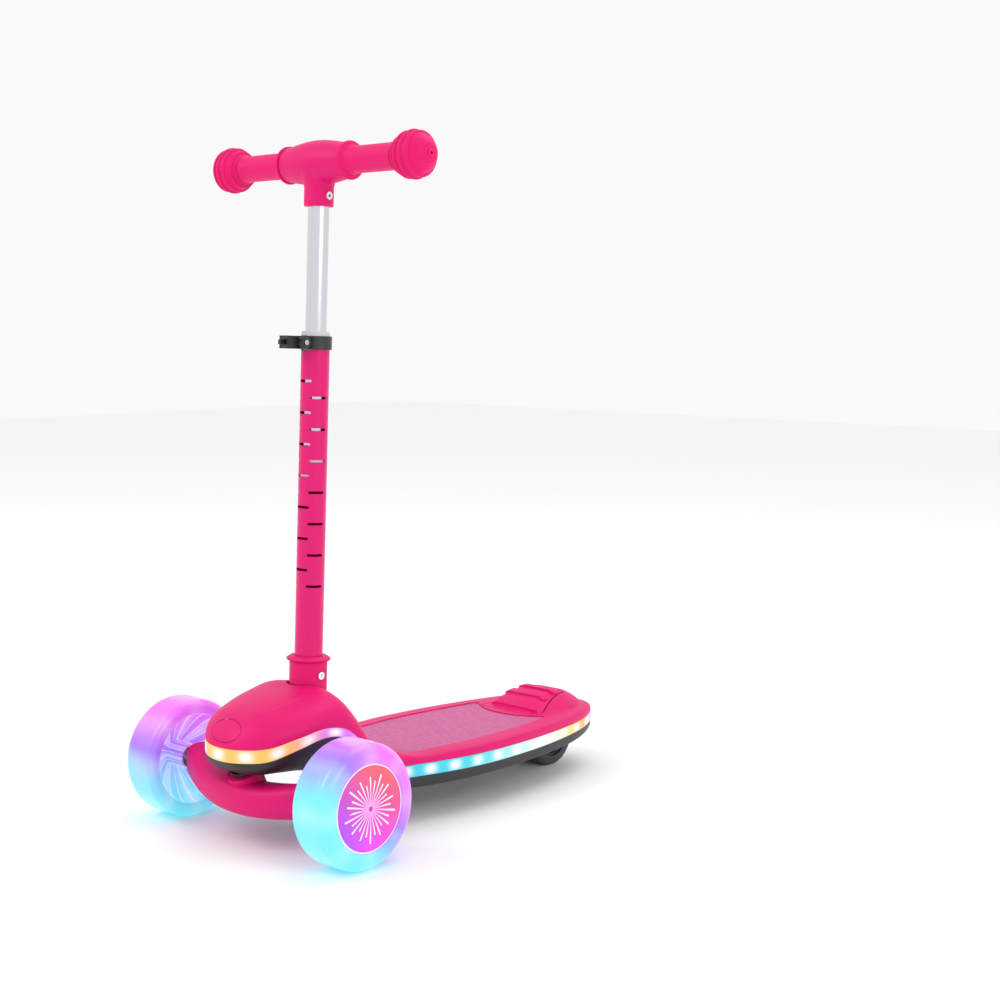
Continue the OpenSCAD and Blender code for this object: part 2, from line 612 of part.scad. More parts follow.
// Folding stem
module stem_socket() {
    r = drum_r;
    wedge = [[0, 0], [0, 60], [-60, 60], [-60, 0], [-60 * cos(32), -60 * sin(32)]];
    color("deeppink") on_stem() difference() {
        union() {
            difference() {
                intersection() {
                    rod(r, -drum_hw, drum_hw);
                    slab_x(drum_hw + 1, wedge);
                }
                for (k = [0:4]) difference() {
                    x = drum_hw * (-0.86 + 0.43 * k) - 2.2;
                    rod(r + 1, x, x + 4.4);
                    rod(r - 5, x - 1, x + 6);
                    for (a = [150, 186]) rotate([a - 90, 0, 0]) block(x - 1, x + 6, -1.2, 1.2, r - 8, r + 2);
                }
            }
            rod(13, -drum_hw, drum_hw);
            translate([0, 0, collar_z0]) cylinder(r = collar_d / 2, h = flange_z - collar_z0);
            slab_x(13, [[0, 0], [14, 0], [16, collar_z0 + 2], [0, collar_z0 + 2]]);
            translate([0, 0, flange_z]) rotate_extrude() polygon([[14, -2.4], [collar_d / 2, -2.4],
                [flange_d / 2 - 0.8, -1.2], [flange_d / 2, 0], [flange_d / 2 - 0.8, 1.2],
                [collar_d / 2 - 1, 3.4], [14, 3.4]]);
        }
        rod(pin_r + run_c, -60, 60);
        translate([0, 0, tube_z0]) cylinder(r = lower_d / 2, h = 60);
        translate([0, 0, 48.4]) rod(1.9, lower_d / 2 - 6, 40);
        translate([0, 0, 48.4]) rod(4.2, collar_d / 2 - 1.4, 40);
    }
}
module slot_at(a, z) {
    rotate([0, 0, a]) translate([0, -lower_d / 2, z]) {
        block(-slot_w / 2, slot_w / 2, -4, 4, -slot_l / 2 + slot_w / 2, slot_l / 2 - slot_w / 2);
        for (s = [-1, 1]) translate([0, 4, s * (slot_l - slot_w) / 2]) rotate([90, 0, 0])
            cylinder(r = slot_w / 2, h = 8, $fn = 24);
    }
}
module lower_tube() {
    color("deeppink") on_stem() difference() {
        translate([0, 0, tube_z0]) cylinder(r = lower_d / 2, h = lower_top - tube_z0);
        translate([0, 0, tube_z0 - 1]) cylinder(r = lower_d / 2 - tube_t, h = lower_top);
        for (k = [0:7]) slot_at(0, lower_top - 228.4 + slot_pitch * k);
        for (a = [-65, 65], k = [0:6]) slot_at(a, lower_top - 244.6 + slot_pitch * k);
        translate([0, 0, 48.4]) rod(1.9, lower_d / 2 - 6, 40);
    }
}
module tube_sleeve() {
    color("gainsboro") on_stem() difference() {
        union() {
            translate([0, 0, lower_top - sleeve_l]) cylinder(r = lower_d / 2 - tube_t, h = sleeve_l);
            translate([0, 0, lower_top]) cylinder(r1 = lower_d / 2 + 0.4, r2 = lower_d / 2 - 0.4, h = 4.6);
        }
        translate([0, 0, lower_top - sleeve_l - 1]) cylinder(r = upper_d / 2 + run_c, h = 60);
    }
}
module socket_screw() {
    color("silver") on_stem() translate([0, 0, 48.4]) difference() {
        union() {
            rod(1.9, lower_d / 2 - 3, collar_d / 2 - 1);
            rod(3.9, collar_d / 2 - 1.4, collar_d / 2 + 0.8);
        }
        rotate([0, 90, 0]) translate([0, 0, collar_d / 2 - 0.4]) cylinder(r = 1.6, h = 4, $fn = 6);
    }
}
module clamp_ring() {
    h = clamp_h;
    color("black") on_stem() translate([0, 0, clamp_z]) difference() {
        union() {
            translate([0, 0, -h / 2]) cylinder(r = ring_r, h = h);
            block(1.4, 7, -ear_reach, -9, -h / 2 + 0.3, h / 2 - 0.3);
            block(-7, -1.4, -ear_reach + 3, -9, -h / 2 + 0.3, h / 2 - 0.3);
            block(-5.5, -2, -ear_reach, -ear_reach + 3.5, -2.2, 2.2);
            translate([0, -bolt_reach, 0]) rod(6, -9.5, -6);
        }
        translate([0, 0, -h]) cylinder(r = lower_d / 2, h = 2 * h);
        block(-1.4, 1.4, -60, 0, -h, h);
        block(0, 9, -ear_reach - 1, -ear_reach + 4.5, -2.6, 2.6);
        translate([0, -bolt_reach, 0]) rod(2.5, -20, 20);
    }
}
module clamp_bolt() {
    color("silver") on_stem() translate([0, -bolt_reach, clamp_z]) rod(2.45, lever_x + 4.8, 15);
}
module thumb_nut() {
    color("black") on_stem() translate([0, -bolt_reach, clamp_z]) difference() {
        union() {
            rod(5.4, 7.4, 14);
            for (k = [0:6]) rotate([360 / 7 * k, 0, 0]) translate([0, 0, 5.2]) rod(1.7, 8, 13.6);
        }
        rod(2.5, 0, 30);
    }
}
lever_x = -ring_r - 3.4;
module clamp_lever() {
    h = clamp_h;
    color("black") on_stem() translate([0, 0, clamp_z]) difference() {
        union() {
            translate([lever_x + 3.2, -bolt_reach, -h / 2 + 1]) cylinder(r = 5.6, h = h - 2);
            linear_extrude(h - 2, center = true) polygon(concat(
                [[lever_x + 6, -bolt_reach + 4], [lever_x - 1.4, -bolt_reach + 3]],
                arc(0, 0, ring_r + 4.4, 190, 132, 6), arc(0, 0, ring_r + 1.2, 132, 185, 6)));
            rotate([0, 0, -44]) translate([0, 0, -22]) block(-ring_r - 4.2, -ring_r - 1.6, -5.5, 5.5, 0, 23);
        }
        translate([lever_x + 3.2, -bolt_reach, -h]) cylinder(r = 1.5 + run_c, h = 2 * h);
        intersection() {
            translate([lever_x + 3.2, -bolt_reach, -3.2]) cylinder(r = 8, h = 6.4);
            translate([lever_x + 3.2, -bolt_reach, 0]) block(-9, 9, -9, 3.4, -4, 4);
        }
    }
}
module lever_pin() {
    color("silver") on_stem() translate([lever_x + 3.2, -bolt_reach, clamp_z - clamp_h / 2 + 0.4])
        cylinder(r = 1.5, h = clamp_h - 0.8);
}

// Sliding handlebar
module upper_tube() {
    color("silver") on_stem() difference() {
        translate([0, 0, upper_z0]) cylinder(r = upper_d / 2, h = bar_rise - bar_d / 2 - 2 - upper_z0);
        translate([0, 0, upper_z0 - 1]) cylinder(r = upper_d / 2 - tube_t, h = bar_rise);
        translate([0, 0, neck_z0 + 10]) rod(1.9, 0, 40);
    }
}
module tube_plug() {
    color("gainsboro") on_stem() {
        difference() {
            translate([0, 0, upper_z0 - 3]) cylinder(r = lower_d / 2 - tube_t - run_c, h = 18);
            translate([0, 0, upper_z0]) cylinder(r = upper_d / 2, h = 30);
        }
        translate([0, 0, upper_z0 - 3]) cylinder(r = upper_d / 2 - tube_t, h = 16);
    }
}
module tee_piece() {
    half = [for (k = [0:8]) let (t = k / 8) [17 + (tee_d / 2 - 17) * pow(cos(90 * t), 1.3), tee_half * t]];
    barrel = concat([for (k = [8:-1:1]) [half[k][0], -half[k][1]]], half,
        [[bar_d / 2, tee_half], [bar_d / 2, -tee_half]]);
    color("deeppink") on_stem() difference() {
        union() {
            translate([0, 0, bar_rise]) turned(barrel);
            translate([0, 0, neck_z0]) rotate_extrude() polygon(concat(
                [[upper_d / 2, 0], [14.5, 0], [14.5, 18]],
                [for (k = [1:6]) [14.5 + 6.5 * (1 - cos(15 * k)), 18 + 14 * sin(15 * k)]],
                [[upper_d / 2, 32]]));
        }
        translate([0, 0, neck_z0 - 1]) cylinder(r = upper_d / 2, h = bar_rise - bar_d / 2 - 1 - neck_z0);
        translate([0, 0, bar_rise]) rod(bar_d / 2, -60, 60);
        translate([0, 0, neck_z0 + 10]) rod(1.9, 5, 40);
        translate([0, 0, neck_z0 + 10]) rod(4.2, 13.2, 40);
    }
}
module cross_bar() {
    end = bar_w / 2 - ball_d / 2 - 6;
    color("silver") on_stem() translate([0, 0, bar_rise]) pipe(bar_d / 2, bar_d / 2 - tube_t, -end, end);
}
module grip(side) {
    rb = ball_d / 2;
    xb = bar_w / 2 - rb;
    end = bar_w / 2 - ball_d / 2 - 6;
    color("deeppink") on_stem() translate([0, 0, bar_rise]) mirror([side < 0 ? 1 : 0, 0, 0]) difference() {
        union() {
            turned([[0, tee_half], [18.5, tee_half], [18.5, tee_half + 2.4], [14.6, tee_half + 4.4],
                [grip_d / 2, tee_half + 12], [grip_d / 2 - 0.4, tee_half + 43],
                [grip_d / 2 + 1, xb - rb + 3], [grip_d / 2 + 1, xb - 14], [0, xb - 14]]);
            translate([xb, 0, 0]) rotate([0, 90, 0]) sphere(r = rb - 0.9);
            for (k = [0:3]) let (x = -13 + 7 * k, r = sqrt(pow(rb - 1.2, 2) - x * x))
                translate([xb + x, 0, 0]) rotate([0, 90, 0]) rotate_extrude()
                    translate([r - 0.7, 0]) circle(r = 1.7, $fn = 24);
            rod(4, bar_w / 2 - 3, bar_w / 2);
        }
        rod(bar_d / 2, tee_half - 1, end);
        rod(1.3, end, bar_w / 2 + 1);
    }
}
module tee_screw() {
    color("silver") on_stem() translate([0, 0, neck_z0 + 10]) difference() {
        union() {
            rod(1.9, upper_d / 2 - 3, 14);
            rod(3.9, 13.2, 15.2);
        }
        rotate([0, 90, 0]) translate([0, 0, 14]) cylinder(r = 1.6, h = 4, $fn = 6);
    }
}

deck_top();
deck_base();
light_band();
led_strip();
grip_film();
fold_cradle();
fold_pin();
latch_pin();
kingpin();
kingpin_nut();
steer_pad();
steer_bracket();
battery_holder();
batteries();
battery_cover();
control_board();
light_button();
rear_axle();
rear_axle_nuts();
brake_pin();
deck_screws();
truck_beam();
axle_bolts();
axle_spacers();
axle_magnets();
tyre(1);  // tyre_right
hub(1);  // hub_right
hubcap(1);  // hubcap_right
bearings(1);  // bearings_right
led_ring(1);  // led_ring_right
tyre(-1);  // tyre_left
hub(-1);  // hub_left
hubcap(-1);  // hubcap_left
bearings(-1);  // bearings_left
led_ring(-1);  // led_ring_left
rear_tyre();
rear_hub();
rear_bearings();
brake_pedal();
brake_pad();
fold_button();
button_spring();
fold_latch();
stem_socket();
lower_tube();
tube_sleeve();
socket_screw();
clamp_ring();
clamp_bolt();
clamp_lever();
lever_pin();
thumb_nut();
upper_tube();
tube_plug();
tee_piece();
cross_bar();
grip(1);  // grip_right
grip(-1);  // grip_left
tee_screw();
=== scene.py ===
import json
import math
import bmesh
import bpy
import numpy as np
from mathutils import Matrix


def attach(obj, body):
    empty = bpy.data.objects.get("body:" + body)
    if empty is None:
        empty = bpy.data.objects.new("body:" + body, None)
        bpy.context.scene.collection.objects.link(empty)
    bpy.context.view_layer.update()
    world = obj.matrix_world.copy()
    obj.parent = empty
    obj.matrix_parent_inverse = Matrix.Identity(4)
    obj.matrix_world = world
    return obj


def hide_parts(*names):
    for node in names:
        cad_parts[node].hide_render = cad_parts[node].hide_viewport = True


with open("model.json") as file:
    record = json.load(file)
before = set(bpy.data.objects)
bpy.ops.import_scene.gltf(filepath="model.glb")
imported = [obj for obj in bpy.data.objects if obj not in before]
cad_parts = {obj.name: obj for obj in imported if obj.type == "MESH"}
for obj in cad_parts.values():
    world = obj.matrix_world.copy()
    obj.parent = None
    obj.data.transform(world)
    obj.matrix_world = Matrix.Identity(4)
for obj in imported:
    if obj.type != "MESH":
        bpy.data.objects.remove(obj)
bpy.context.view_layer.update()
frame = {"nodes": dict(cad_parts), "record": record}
nodes = frame["nodes"]
mm = 0.001
print("frame loaded,", len(nodes), "parts")

# camera and light
shot = dict(turn=45.76, rise=6.18, distance=1.74745, target=(-0.00427, -0.07175, 0.32074),
            lens=61.97, shiftX=0.138, shiftY=0.001)
turn, rise = math.radians(shot["turn"]), math.radians(shot["rise"])
back = np.array([math.sin(turn) * math.cos(rise), -math.cos(turn) * math.cos(rise), math.sin(rise)])
camera = bpy.data.objects.new("camera", bpy.data.cameras.new("camera"))
bpy.context.scene.collection.objects.link(camera)
camera.location = np.array(shot["target"]) + back * shot["distance"]
camera.rotation_euler = (math.pi / 2 - rise, 0, turn)
camera.data.lens = shot["lens"]
camera.data.shift_x, camera.data.shift_y = shot["shiftX"], shot["shiftY"]
camera.data.clip_start, camera.data.clip_end = 0.01, 100
bpy.context.scene.camera = camera

skyStrength = 0.95
world = bpy.data.worlds.new("studio")
world.use_nodes = True
world.node_tree.nodes["Background"].inputs["Color"].default_value = (1, 1, 1, 1)
world.node_tree.nodes["Background"].inputs["Strength"].default_value = skyStrength
bpy.context.scene.world = world
bpy.context.scene.view_settings.view_transform = "Standard"


def softLight(name, place, aim, size, power):  # a square area lamp aimed at a point
    lamp = bpy.data.objects.new(name, bpy.data.lights.new(name, "AREA"))
    lamp.data.size, lamp.data.energy = size, power
    bpy.context.scene.collection.objects.link(lamp)
    lamp.location = place
    way = np.array(aim, float) - np.array(place, float)
    tilt = math.acos(-way[2] / np.linalg.norm(way))
    lamp.rotation_euler = (tilt, 0, math.atan2(way[1], way[0]) - math.pi / 2)


softLight("keyLight", (-1.2, -2.2, 2.2), (0, 0, 0.3), 1.4, 22)
softLight("sideLight", (2.4, -0.4, 1.3), (0, 0, 0.3), 1.2, 12)
softLight("topLight", (0.2, 0.9, 2.6), (0, 0, 0.2), 1.6, 12)


# mesh tools
def gridFaces(rows, cols, wrapRows=False, wrapCols=False):
    # quads between neighbouring points of a rows x cols grid, closed over either way round
    i = np.arange(rows if wrapRows else rows - 1)[:, None]
    j = np.arange(cols if wrapCols else cols - 1)[None, :]
    a = i * cols + j
    b = ((i + 1) % rows) * cols + j
    c = ((i + 1) % rows) * cols + (j + 1) % cols
    d = i * cols + (j + 1) % cols
    return np.stack([a, b, c, d], -1).reshape(-1, 4)


def sideFaces(n):  # two n-cornered ends, one after the other, with quads between them
    ends = [list(range(n)), list(range(2 * n - 1, n - 1, -1))]
    return ends + [[i, (i + 1) % n, n + (i + 1) % n, n + i] for i in range(n)]


def bent(value, power):  # a power that keeps the sign
    return np.sign(value) * np.abs(value) ** power


def buildPiece(name, points, faces, crease=35, uv=None):
    # merges doubles, turns the faces outwards and shades smooth up to the crease angle
    mesh = bpy.data.meshes.new(name)
    corners = np.asarray(points, float).reshape(-1, 3).tolist()
    mesh.from_pydata(corners, [], [list(map(int, f)) for f in faces])
    if uv is not None:
        layer = mesh.uv_layers.new(name="run")
        loops = np.zeros(len(mesh.loops), int)
        mesh.loops.foreach_get("vertex_index", loops)
        layer.data.foreach_set("uv", np.asarray(uv, float).reshape(-1, 2)[loops].ravel())
    piece = bpy.data.objects.new(name, mesh)
    bpy.context.scene.collection.objects.link(piece)
    tidyMesh(piece, crease)
    return piece


def tidyMesh(piece, crease=35):
    work = bmesh.new()
    work.from_mesh(piece.data)
    bmesh.ops.remove_doubles(work, verts=work.verts, dist=2e-6)
    bmesh.ops.dissolve_degenerate(work, edges=work.edges, dist=1e-7)
    bmesh.ops.recalc_face_normals(work, faces=work.faces)
    work.to_mesh(piece.data)
    work.free()
    piece.data.shade_smooth()
    piece.data.set_sharp_from_angle(angle=math.radians(crease))


def bake(piece):  # replaces the mesh by what its modifiers make of it
    deps = bpy.context.evaluated_depsgraph_get()
    made = bpy.data.meshes.new_from_object(piece.evaluated_get(deps))
    piece.modifiers.clear()
    piece.data = made


def carve(piece, cutters, way="DIFFERENCE", crease=35):  # booleans, one cutter after another
    for cutter in cutters:
        step = piece.modifiers.new("carve", "BOOLEAN")
        step.operation, step.solver, step.object = way, "MANIFOLD", cutter
        bake(piece)
        bpy.data.objects.remove(cutter)
    tidyMesh(piece, crease)
    return piece


def turned(name, profile, place, side=1, parts=128, crease=35, closed=True):
    # profile of (radius, x) points carried round an X axis through place; side -1 mirrors it along X
    profile = np.array(profile, float)
    angle = 2 * np.pi * np.arange(parts) / parts
    r, x = profile[:, 0][:, None], profile[:, 1][:, None]
    along = np.broadcast_to(side * x, (len(profile), parts))
    pts = np.stack([along, r * np.cos(angle), r * np.sin(angle)], -1)
    return buildPiece(name, pts * mm + np.array(place), gridFaces(len(profile), parts, closed, True), crease)


def prism(name, outline, low, high, axis="Z"):
    # flat outline raised from low to high along an axis; the outline holds the two other coordinates
    o = np.array(outline, float)
    n = len(o)
    order = {"Z": [0, 1, 2], "Y": [0, 2, 1], "X": [2, 0, 1]}[axis]
    both = np.concatenate([np.c_[o, np.full(n, low)], np.c_[o, np.full(n, high)]])
    return buildPiece(name, both[:, order] * mm, sideFaces(n))


def pill(endX, y, radius, parts, sweep):  # a bar with round ends at x = endX and -endX
    return np.vstack([roundOutline(s * endX, y, radius, radius, parts, 2, -s * 90, sweep) for s in (1, -1)])


def roundOutline(cx, cy, rx, ry, parts=48, power=2.0, start=0, sweep=360):
    # superellipse of half sizes rx and ry about (cx, cy)
    a = np.radians(start + sweep * np.arange(parts) / parts)
    return np.c_[cx + rx * bent(np.cos(a), 2 / power), cy + ry * bent(np.sin(a), 2 / power)]


# node tools
def link(tree, source, target):
    if isinstance(source, bpy.types.NodeSocket):
        tree.links.new(source, target)
    else:
        target.default_value = source


def add(tree, kind, values=(), out=0, **settings):
    node = tree.nodes.new("ShaderNode" + kind)
    for key, value in settings.items():
        setattr(node, key, value)
    for key, value in dict(values).items():
        link(tree, value, node.inputs[key])
    return node.outputs[out]


def calc(tree, what, a, b=0.0, c=0.0):
    return add(tree, "Math", {0: a, 1: b, 2: c}, operation=what)


def lift(tree, value, factor, base):  # value times factor plus base
    return calc(tree, "MULTIPLY_ADD", value, factor, base)


def spotAt(tree, centre=(0, 0, 0)):  # place in the scene, measured from a centre, as three sockets
    parts = add(tree, "SeparateXYZ", {0: add(tree, "TexCoord", out=3)}).node.outputs
    return [calc(tree, "SUBTRACT", part, c) if c else part for part, c in zip(parts, centre)]


def noise(tree, scale, detail, **more):
    where = add(tree, "TexCoord", out=3)
    return add(tree, "TexNoise", {"Vector": where, "Scale": scale, "Detail": detail, **more})


def ramp(tree, value, stops, smooth="LINEAR"):
    node = tree.nodes.new("ShaderNodeValToRGB")
    node.color_ramp.interpolation = smooth
    while len(node.color_ramp.elements) < len(stops):
        node.color_ramp.elements.new(0.5)
    for spot, (place, color) in zip(node.color_ramp.elements, sorted(stops)):
        spot.position = place
        spot.color = (*color, 1)
    link(tree, value, node.inputs[0])
    return node.outputs[0]


def mix(tree, share, a, b, how="MIX"):
    node = tree.nodes.new("ShaderNodeMix")
    node.data_type, node.blend_type = "RGBA", how
    for socket, value in ((node.inputs[0], share), (node.inputs[6], a), (node.inputs[7], b)):
        if isinstance(value, tuple) and len(value) == 3:
            value = (*value, 1)
        link(tree, value, socket)
    return node.outputs[2]


def tone(red, green, blue):  # display colour, 0 to 255, as linear light
    v = np.array([red, green, blue]) / 255
    return tuple(float(x) for x in np.where(v <= 0.04045, v / 12.92, ((v + 0.055) / 1.055) ** 2.4))


def makeGrain():
    # fine moulded grain: Height for a bump, Tone to vary the colour and Rough to vary the gloss
    group = bpy.data.node_groups.new("mouldedGrain", "ShaderNodeTree")
    for name, value in (("Size", 900.0), ("Base Rough", 0.35), ("Rough Spread", 0.1), ("Tone Spread", 0.06)):
        socket = group.interface.new_socket(name, in_out="INPUT", socket_type="NodeSocketFloat")
        socket.default_value = value
    for name in ("Height", "Tone", "Rough"):
        group.interface.new_socket(name, in_out="OUTPUT", socket_type="NodeSocketFloat")
    enter, leave = group.nodes.new("NodeGroupInput"), group.nodes.new("NodeGroupOutput")
    fine = noise(group, enter.outputs[0], 3.0, Roughness=0.6)
    wide = noise(group, 9.0, 4.0, Roughness=0.55)
    scuff = noise(group, 60.0, 5.0, Roughness=0.7)
    link(group, fine, leave.inputs["Height"])
    even = calc(group, "SUBTRACT", wide, 0.5)
    link(group, lift(group, even, enter.outputs[3], 1.0), leave.inputs["Tone"])
    marks = calc(group, "ADD", calc(group, "SUBTRACT", scuff, 0.5), calc(group, "MULTIPLY", even, 0.6))
    link(group, lift(group, marks, enter.outputs[2], enter.outputs[1]), leave.inputs["Rough"])
    return group


grainGroup = makeGrain()


def makeWear():
    # bright rubbed edges: Mask is high where the surface is convex, broken up by noise
    group = bpy.data.node_groups.new("edgeWear", "ShaderNodeTree")
    group.interface.new_socket("Amount", in_out="INPUT", socket_type="NodeSocketFloat").default_value = 0.2
    group.interface.new_socket("Mask", in_out="OUTPUT", socket_type="NodeSocketFloat")
    enter, leave = group.nodes.new("NodeGroupInput"), group.nodes.new("NodeGroupOutput")
    sharp = add(group, "NewGeometry", out=7)
    broken = noise(group, 140.0, 4.0)
    edge = add(group, "MapRange", {0: sharp, 1: 0.52, 2: 0.62, 3: 0.0, 4: 1.0})
    rubbed = calc(group, "MULTIPLY", edge, broken)
    link(group, calc(group, "MULTIPLY", rubbed, enter.outputs[0]), leave.inputs[0])
    return group


wearGroup = makeWear()


def addBump(tree, shader, strength, depth, height, **more):  # depth in mm
    values = {"Strength": strength, "Distance": depth * mm, "Height": height, **more}
    link(tree, add(tree, "Bump", values), shader.inputs["Normal"])


def startMaterial(name, **values):
    made = bpy.data.materials.new(name)
    made.use_nodes = True
    tree = made.node_tree
    tree.nodes.clear()
    shader = tree.nodes.new("ShaderNodeBsdfPrincipled")
    leave = tree.nodes.new("ShaderNodeOutputMaterial")
    tree.links.new(shader.outputs[0], leave.inputs[0])
    for key, value in values.items():
        shader.inputs[key.replace("_", " ")].default_value = value
    return made, tree, shader


def moulded(name, color, rough=0.35, size=900.0, depth=0.05, spreadRough=0.12, toneSpread=0.12,
            wear=0.0, wearColor=(0.8, 0.8, 0.8), rounding=0.4, **values):
    # plain moulded, painted or plated finish with grain, uneven gloss and softened edges
    made, tree, shader = startMaterial(name, **values)
    grain = tree.nodes.new("ShaderNodeGroup")
    grain.node_tree = grainGroup
    wanted = {"Size": size, "Base Rough": rough, "Rough Spread": spreadRough, "Tone Spread": toneSpread}
    for key, value in wanted.items():
        grain.inputs[key].default_value = value
    tinted = mix(tree, 1.0, color, grain.outputs["Tone"], "MULTIPLY")
    if wear:
        edge = tree.nodes.new("ShaderNodeGroup")
        edge.node_tree = wearGroup
        edge.inputs[0].default_value = wear
        tinted = mix(tree, edge.outputs[0], tinted, wearColor)
    link(tree, tinted, shader.inputs["Base Color"])
    link(tree, grain.outputs["Rough"], shader.inputs["Roughness"])
    soft = add(tree, "Bevel", {"Radius": rounding * mm}, samples=4)
    bump = add(tree, "Bump", {"Strength": 1.0, "Distance": depth * mm, "Height": grain.outputs["Height"],
                              "Normal": soft})
    link(tree, bump, shader.inputs["Normal"])
    return made, tree, shader, bump


# values in each finish: colour, roughness, grain size, grain depth in mm, spread of gloss, spread of colour
shellLook = (tone(216, 8, 106), 0.46, 1400, 0.012, 0.1, 0.1)
finishes = {
    "shell": moulded("pinkShell", *shellLook, Specular_IOR_Level=0.22)[0],
    "grip_soft": moulded("pinkGrip", tone(222, 10, 106), 0.5, 1600, 0.03, 0.1, 0.12,
                         Specular_IOR_Level=0.2)[0],
    "stem_paint": moulded("pinkPaint", tone(212, 6, 106), 0.3, 420, 0.01, 0.08, 0.08,
                          Specular_IOR_Level=0.3)[0],
    "base_black": moulded("blackPlastic", tone(30, 29, 32), 0.42, 1500, 0.05, 0.12, 0.3, wear=0.12,
                          wearColor=tone(90, 90, 94))[0],
    "band_clear": moulded("milkyBand", tone(240, 238, 235), 0.3, 900, 0.01)[0],
    "film": moulded("filmEdge", tone(214, 84, 150), 0.5)[0],
    "steel": moulded("platedSteel", tone(196, 197, 202), 0.28, 700, 0.01, 0.14, 0.2, Metallic=1.0)[0],
    "chrome": moulded("chromePlate", tone(226, 227, 232), 0.1, 700, 0.003, 0.06, 0.1, Metallic=1.0)[0],
    "tube_bright": moulded("brightTube", tone(222, 224, 230), 0.2, 700, 0.004, Metallic=1.0)[0],
    "sleeve_grey": moulded("greySleeve", tone(196, 196, 200), 0.45)[0],
    "wheel_clear": moulded("milkyWheel", tone(225, 225, 240), 0.35)[0],
    "hub_clear": moulded("clearHub", tone(235, 235, 245), 0.25)[0],
    "cap_print": moulded("capPrint", tone(230, 60, 130), 0.3)[0],
    "rear_tread": moulded("darkTread", tone(58, 57, 62), 0.5, 1200, 0.05, 0.12, 0.3)[0],
    "board_green": moulded("boardGreen", tone(20, 80, 46), 0.3)[0],
    "brake_black": moulded("brakeRubber", tone(24, 24, 25), 0.7, 800, 0.08)[0],
}
for part in frame["record"]["subparts"]:  # every carried part takes its slot's finish
    mesh = nodes[part["node"]].data
    mesh.materials.clear()
    mesh.materials.append(finishes[part["material_slot"]])
print("finishes made")


def dress(piece, body, slotName, material=None, stands=()):
    # gives a new piece its finish, its body and the parts it stands for
    piece.data.materials.clear()
    piece.data.materials.append(material or finishes[slotName])
    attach(piece, body)
    if stands:
        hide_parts(*stands)
    return piece


# deck shape
deck = dict(shift=209, wall=2.6)  # shift takes distances behind the front axle to the scene's Y
noseZ, humpZ, sideZ = 94, 108.3, 53.4  # heights of the light band
foldAxis, rearAxle, kingpinAt = (0, -0.1522, 0.1071), (0, 0.2055, 0.035), (0, -0.227, 0.055)
# rows of: distance behind the front axle, half width, band height, top, bottom, band thickness, squareness
stations = np.array([
    [-57, 0, noseZ, noseZ + 3, noseZ - 3, 13.3, 2.2],
    [-50.5, 25.9, noseZ + 0.6, noseZ + 19, noseZ - 15, 13.2, 2.3],
    [-33, 45.9, noseZ + 2.8, 129.5, noseZ - 22, 12.9, 2.35],
    [-5, 57.6, noseZ + 11, 138.5, noseZ - 25, 11, 2.3],
    [24, 63.5, humpZ + 3.2, 144, noseZ - 28, 9.4, 2.4],
    [48.8, 66.8, humpZ - 1.5, 147.5, noseZ - 35, 9.2, 2.5],
    [69.8, 68.5, humpZ - 20, 135.5, noseZ - 44, 10.2, 2],
    [90.8, 68.9, sideZ + 14, 110.4, 42, 11.4, 1.5],
    [112.8, 68.1, sideZ + 3.4, 83.9, 37, 12.2, 2.2],
    [144.8, 72.2, sideZ + 1.2, 70, 34, 12.6, 6.5],
    [195, 80.6, sideZ + 0.4, 69.4, 34, 12.6, 8],
    [245, 83.5, sideZ, 69.4, 34, 12.6, 8],
    [315, 78.9, sideZ - 0.4, 69.4, 34, 12, 8],
    [375, 70.1, sideZ - 0.2, 69.4, 34, 11.1, 7],
    [420, 59.3, sideZ + 0.6, 69.4, 36, 10.6, 6],
    [454, 43.4, sideZ + 2, 69, 40, 10.6, 5],
    [471, 24.2, sideZ + 2.4, 66.4, 46, 10.6, 4],
    [478, 0, sideZ + 2.4, 62.4, 48.4, 10.6, 3]])
lastRow = len(stations) - 1


def alongDeck(u):
    # Catmull-Rom curve through the stations, mirrored over both ends so that they are round
    ghostA, ghostB = stations[1].copy(), stations[-2].copy()
    ghostA[1], ghostB[1] = -ghostA[1], -ghostB[1]
    rows = np.vstack([ghostA, stations, ghostB])
    u = np.clip(np.asarray(u, float), 0, lastRow - 1e-9)
    i = np.floor(u).astype(int)
    t = (u - i)[:, None]
    a, b, c, e = rows[i], rows[i + 1], rows[i + 2], rows[i + 3]
    square, cube = 2 * a - 5 * b + 4 * c - e, 3 * b - a - 3 * c + e
    return 0.5 * (2 * b + (c - a) * t + square * t ** 2 + cube * t ** 3)


tail = dict(middle=412, halfWide=45, halfLong=54, tall=19, notch=67)


def tailHump(x, y):  # elliptic mound over the rear wheel
    q = (x / tail["halfWide"]) ** 2 + ((y - tail["middle"]) / tail["halfLong"]) ** 2
    return np.where(q < 1, tail["tall"] * np.clip(1 - q, 0, 1) ** 0.85, 0)


def deckRows(count):  # even rows, closer together at both ends
    t = np.linspace(0, 1, count)
    u = lastRow * t
    soft = 0.5 - 0.5 * np.cos(np.pi * t)
    return np.clip(0.82 * u + 0.18 * lastRow * soft, 0.004, lastRow - 0.004)


def sideways(u):  # how the outline runs at rows u, as steps along Y and X of length one
    before, after = alongDeck(u - 0.04), alongDeck(u + 0.04)
    dy, dw = after[:, 0] - before[:, 0], after[:, 1] - before[:, 1]
    run = np.maximum(np.hypot(dy, dw), 1e-6)
    return dy / run, dw / run


